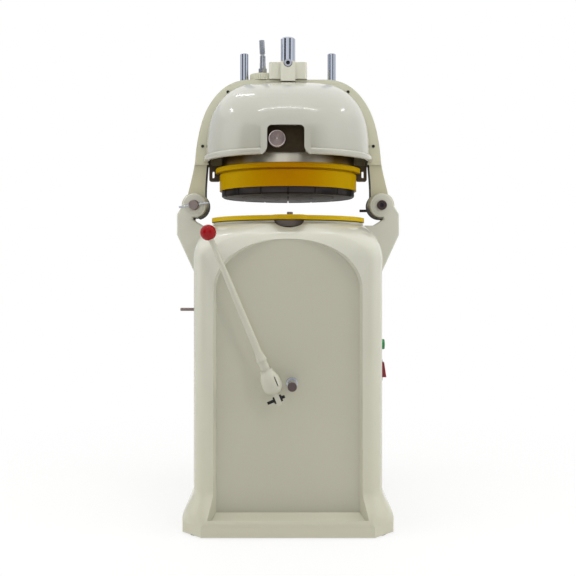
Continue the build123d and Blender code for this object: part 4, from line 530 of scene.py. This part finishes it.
# pressed louvres over the rear panel's slots, in millimetres: each lip stands out at its lower edge and
# closes at its ends
louvre = {"rows": 9, "middleZ": 412.0, "pitch": 22.0, "width": 224.0, "panelY": 326.0, "top": 6.5,
          "low": -3.0, "out": 6.0, "endShare": 0.06, "sheetMm": 1.0, "across": 40, "down": 6}
mesh = bmesh.new()
for row in range(louvre["rows"]):
    rowZ = louvre["middleZ"] + (row - (louvre["rows"] - 1) / 2) * louvre["pitch"]
    grid = []
    for step in range(louvre["across"] + 1):
        run = math.sin(math.pi * (step / louvre["across"] - 0.5))  # closer together at the ends
        closing = max(0.0, (abs(run) - 1 + louvre["endShare"]) / louvre["endShare"])
        full = math.sqrt(max(0.0, 1 - closing * closing))
        column = []
        for part in range(louvre["down"] + 1):
            fall = part / louvre["down"]
            out = louvre["out"] * full * math.sqrt(1 - (1 - fall) ** 2)
            column.append(mesh.verts.new((
                run * louvre["width"] / 2000, (louvre["panelY"] + out) / 1000,
                (rowZ + louvre["top"] + (louvre["low"] - louvre["top"]) * fall) / 1000)))
        grid.append(column)
    for first, second in zip(grid, grid[1:]):
        for part in range(louvre["down"]):
            mesh.faces.new((first[part], second[part], second[part + 1], first[part + 1])).smooth = True
hoods = addPiece("rearLouvreHoods", mesh, "frame", sheetPaint)
thicken = hoods.modifiers.new("sheet", "SOLIDIFY")
thicken.thickness = louvre["sheetMm"] / 1000
thicken.offset = 0.0
print("louvres pressed")


# a turned form: rings of points round an axis, from pairs of radius and reach along it in millimetres
def turnedForm(profile, sides, place, axis):
    mesh = bmesh.new()
    turn = Vector((0, 0, 1)).rotation_difference(Vector(axis))
    rings = []
    for radius, reach in profile:
        ring = []
        for step in range(sides):
            angle = math.tau * step / sides
            local = Vector((radius * math.cos(angle), radius * math.sin(angle), reach))
            ring.append(mesh.verts.new((Vector(place) + turn @ local) / 1000))
        rings.append(ring)
    for low, high in zip(rings, rings[1:]):
        for step in range(sides):
            after = (step + 1) % sides
            mesh.faces.new((low[step], low[after], high[after], high[step])).smooth = True
    mesh.faces.new(rings[0])
    mesh.faces.new(rings[-1])
    return mesh


# the knob's faced front, in millimetres: shallow rings from the lathe tool round a centre mark
knobFace = {"place": (-29.4, -255.0, 1059.0), "axis": (0, -1, 0), "radius": 20.4, "sunk": -0.5, "stand": 0.3,
            "rings": 5, "ringFrom": 0.7, "ringTo": 0.9, "ringDeep": 0.35, "markRadius": 2.4, "markTip": 0.4,
            "markDeep": 0.8, "sides": 64}
faced = knobFace["radius"] - knobFace["markRadius"]
stand = knobFace["stand"]
profile = [(knobFace["radius"], knobFace["sunk"]), (knobFace["radius"], stand)]
for ring in range(knobFace["rings"]):
    outer = knobFace["radius"] - faced * (ring + knobFace["ringFrom"]) / knobFace["rings"]
    inner = knobFace["radius"] - faced * (ring + knobFace["ringTo"]) / knobFace["rings"]
    profile += [(outer, stand), ((outer + inner) / 2, stand - knobFace["ringDeep"]), (inner, stand)]
profile += [(knobFace["markRadius"], stand), (knobFace["markTip"], stand - knobFace["markDeep"])]
mesh = turnedForm(profile, knobFace["sides"], knobFace["place"], knobFace["axis"])
addPiece("windowKnobFace", mesh, "window_knob", metals["turnedSteel"])

# painted shade: a thin dark lip on each outer press segment's face, parted where the knives come through, in
# millimetres
drumShadeLip = {"outer": 191.5, "inner": 189.0, "top": 2.0, "low": -1.6, "round": 0.6, "faceZ": 918.0,
           "segments": 16, "parting": 3.6, "steps": 9}
rounded = drumShadeLip["low"] + drumShadeLip["round"]
section = [(drumShadeLip["outer"], drumShadeLip["top"]), (drumShadeLip["outer"], rounded),
           (drumShadeLip["outer"] - drumShadeLip["round"], drumShadeLip["low"]),
           (drumShadeLip["inner"] + drumShadeLip["round"], drumShadeLip["low"]),
           (drumShadeLip["inner"], rounded), (drumShadeLip["inner"], drumShadeLip["top"])]
share = math.tau / drumShadeLip["segments"]
parted = drumShadeLip["parting"] / 2 / drumShadeLip["inner"]
mesh = bmesh.new()
for segment in range(drumShadeLip["segments"]):
    cuts = []
    for step in range(drumShadeLip["steps"] + 1):
        turn = segment * share + parted + (share - 2 * parted) * step / drumShadeLip["steps"]
        cuts.append([mesh.verts.new((radius * math.cos(turn) / 1000, radius * math.sin(turn) / 1000,
                                     (drumShadeLip["faceZ"] + rise) / 1000)) for radius, rise in section])
    for first, second in zip(cuts, cuts[1:]):
        for corner in range(len(section)):
            after = (corner + 1) % len(section)
            mesh.faces.new((first[corner], first[after], second[after], second[corner]))
    mesh.faces.new(cuts[0])
    mesh.faces.new(cuts[-1])
addPiece("pressDrumShadeLip", mesh, "press_plate", metals["blackOxideSteel"])
print("knob face and drum lip made")

# studio: a pale floor that fades to white, soft light from all round, in metres
studio = {
    "floorColour": "#F4F3F0", "floorShade": "#F0EFEB", "floorRoughness": 0.9, "floorSize": 14.0,
    "fibreMm": 300.0, "fadeFrom": 0.5, "fadeTo": 1.7, "nearShare": 0.72,
    "wallColour": "#FFFFFF", "fillColour": "#F4F5F7", "fillStrength": 0.60,
}


def seenByLens(tree):
    path = addNode(tree, "ShaderNodeLightPath").outputs
    seen = addNode(tree, "ShaderNodeMath", {
        0: path["Is Camera Ray"], 1: path["Is Glossy Ray"]}, operation="MAXIMUM")
    return addNode(tree, "ShaderNodeMath", {
        0: seen.outputs[0], 1: path["Is Transmission Ray"]}, operation="MAXIMUM").outputs[0]


# Background paper: matt white, a soft shadow close to the machine and none further out
def backgroundPaper():
    material, tree, shader, place = startMaterial("mattBackgroundPaper", **{
        "Roughness": studio["floorRoughness"]})
    fibre = addNode(tree, "ShaderNodeTexNoise", {
        "Vector": place, "Scale": perMetre(studio["fibreMm"]), "Detail": 2.0})
    tone = addNode(tree, "ShaderNodeMix", {
        mixShare: fibre.outputs["Fac"], mixFirst: toLinear(studio["floorColour"]),
        mixSecond: toLinear(studio["floorShade"])}, data_type="RGBA")
    tree.links.new(tone.outputs[mixResult], shader.inputs["Base Color"])
    reach = addNode(tree, "ShaderNodeVectorMath", {0: place}, operation="LENGTH")
    white = addNode(tree, "ShaderNodeMapRange", {
        "Value": reach.outputs["Value"], "From Min": studio["fadeFrom"], "From Max": studio["fadeTo"],
        "To Min": studio["nearShare"]})
    share = addNode(tree, "ShaderNodeMath", {
        0: seenByLens(tree), 1: white.outputs[0]}, operation="MULTIPLY")
    glow = addNode(tree, "ShaderNodeEmission", {"Color": toLinear(studio["wallColour"]), "Strength": 1.0})
    blend = addNode(tree, "ShaderNodeMixShader", {
        0: share.outputs[0], 1: shader.outputs[0], 2: glow.outputs[0]})
    output = [node for node in tree.nodes if node.type == "OUTPUT_MATERIAL"][0]
    tree.links.new(blend.outputs[0], output.inputs["Surface"])
    return material


half = studio["floorSize"] / 2
floorCorners = [(-half, -half, 0), (half, -half, 0), (half, half, 0), (-half, half, 0)]
floorMesh = bpy.data.meshes.new("studioFloor")
floorMesh.from_pydata(floorCorners, [], [(0, 1, 2, 3)])
floor = bpy.data.objects.new("studioFloor", floorMesh)
bpy.context.scene.collection.objects.link(floor)
floorMesh.materials.append(backgroundPaper())

world = bpy.data.worlds.new("studioWorld")
bpy.context.scene.world = world
world.use_nodes = True
worldTree = world.node_tree
worldTree.nodes.clear()
whiteWall = addNode(worldTree, "ShaderNodeBackground", {
    "Color": toLinear(studio["wallColour"]), "Strength": 1.0})
softFill = addNode(worldTree, "ShaderNodeBackground", {
    "Color": toLinear(studio["fillColour"]), "Strength": studio["fillStrength"]})
worldMix = addNode(worldTree, "ShaderNodeMixShader", {
    0: seenByLens(worldTree), 1: softFill.outputs[0], 2: whiteWall.outputs[0]})
addNode(worldTree, "ShaderNodeOutputWorld", {"Surface": worldMix.outputs[0]})

# cards on an arc round the machine that only the gloss sees: each strip's first and last degree from
# the front, and how bright it is
cards = {
    "radius": 4.2, "low": 0.02, "high": 3.4, "colour": "#F3F5FA", "stepDegrees": 10.0,
    "strips": ((-150, -98, 0.70), (-98, -64, 1.05), (-64, -34, 0.06), (-34, 6, 1.0), (6, 19, 0.78),
               (19, 38, 0.05), (38, 50, 0.65), (50, 70, 1.15), (70, 118, 0.82)),
}
for order, (first, last, bright) in enumerate(cards["strips"]):
    pieces = max(1, round((last - first) / cards["stepDegrees"]))
    corners = []
    for step in range(pieces + 1):
        turn = math.radians(first + (last - first) * step / pieces)
        across = cards["radius"] * math.sin(turn)
        ahead = -cards["radius"] * math.cos(turn)
        corners += [(across, ahead, cards["low"]), (across, ahead, cards["high"])]
    faces = [(2 * step, 2 * step + 1, 2 * step + 3, 2 * step + 2) for step in range(pieces)]
    cardMesh = bpy.data.meshes.new(f"glossCard{order}")
    cardMesh.from_pydata(corners, [], faces)
    cardMaterial = bpy.data.materials.new(f"greyCard{order}")
    cardMaterial.use_nodes = True
    cardMaterial.node_tree.nodes.clear()
    cardGlow = addNode(cardMaterial.node_tree, "ShaderNodeEmission", {
        "Color": toLinear(cards["colour"]), "Strength": bright})
    addNode(cardMaterial.node_tree, "ShaderNodeOutputMaterial", {"Surface": cardGlow.outputs[0]})
    cardMesh.materials.append(cardMaterial)
    card = bpy.data.objects.new(f"glossCard{order}", cardMesh)
    card.visible_camera = False
    card.visible_diffuse = False
    card.visible_shadow = False
    bpy.context.scene.collection.objects.link(card)

# soft boxes light the machine and stay out of its gloss; thin tubes show in it as highlights
softBoxes = {
    "sideRight": {"place": (2.5, -0.6, 1.5), "aim": (0.0, 0.0, 0.8), "size": (1.4, 1.8), "watts": 23.0},
    "sideLeft": {"place": (-2.5, -0.6, 1.5), "aim": (0.0, 0.0, 0.8), "size": (1.4, 1.8), "watts": 24.0},
    "overhead": {"place": (0.0, -0.7, 3.3), "aim": (0.0, -0.1, 1.0), "size": (2.2, 0.9), "watts": 32.0},
    "frontRight": {"place": (1.2, -2.6, 1.7), "aim": (0.0, -0.3, 0.5), "size": (0.4, 0.4), "watts": 7.0},
    "rearFill": {"place": (0.0, 2.8, 2.2), "aim": (0.0, 0.0, 0.9), "size": (2.0, 1.2), "watts": 18.0},
    "tubeFront": {"place": (0.0, -1.05, 3.2), "aim": (0.0, -0.2, 1.1), "size": (2.6, 0.05), "watts": 5.0,
                  "inGloss": True},
    "tubeRight": {"place": (1.95, 0.2, 2.85), "aim": (0.15, -0.2, 1.1), "size": (0.35, 0.07), "watts": 0.8,
                  "inGloss": True},
    "tubeShoulder": {"place": (-0.85, 0.85, 2.9), "aim": (-0.4, 0.2, 1.6), "size": (0.05, 0.6), "watts": 1.2,
                     "inGloss": True},
    "tubeLeft": {"place": (-1.97, 0.3, 2.8), "aim": (-0.15, -0.2, 1.1), "size": (0.35, 0.07), "watts": 0.8,
                 "inGloss": True},
}
for name, box in softBoxes.items():
    lampData = bpy.data.lights.new(name, "AREA")
    lampData.shape = "RECTANGLE"
    lampData.size, lampData.size_y = box["size"]
    lampData.energy = box["watts"]
    lamp = bpy.data.objects.new(name, lampData)
    lamp.location = box["place"]
    lamp.rotation_euler = (Vector(box["aim"]) - Vector(box["place"])).to_track_quat("-Z", "Y").to_euler()
    lamp.visible_glossy = box.get("inGloss", False)
    bpy.context.scene.collection.objects.link(lamp)
print("studio lit with", len(softBoxes), "soft boxes and tubes")
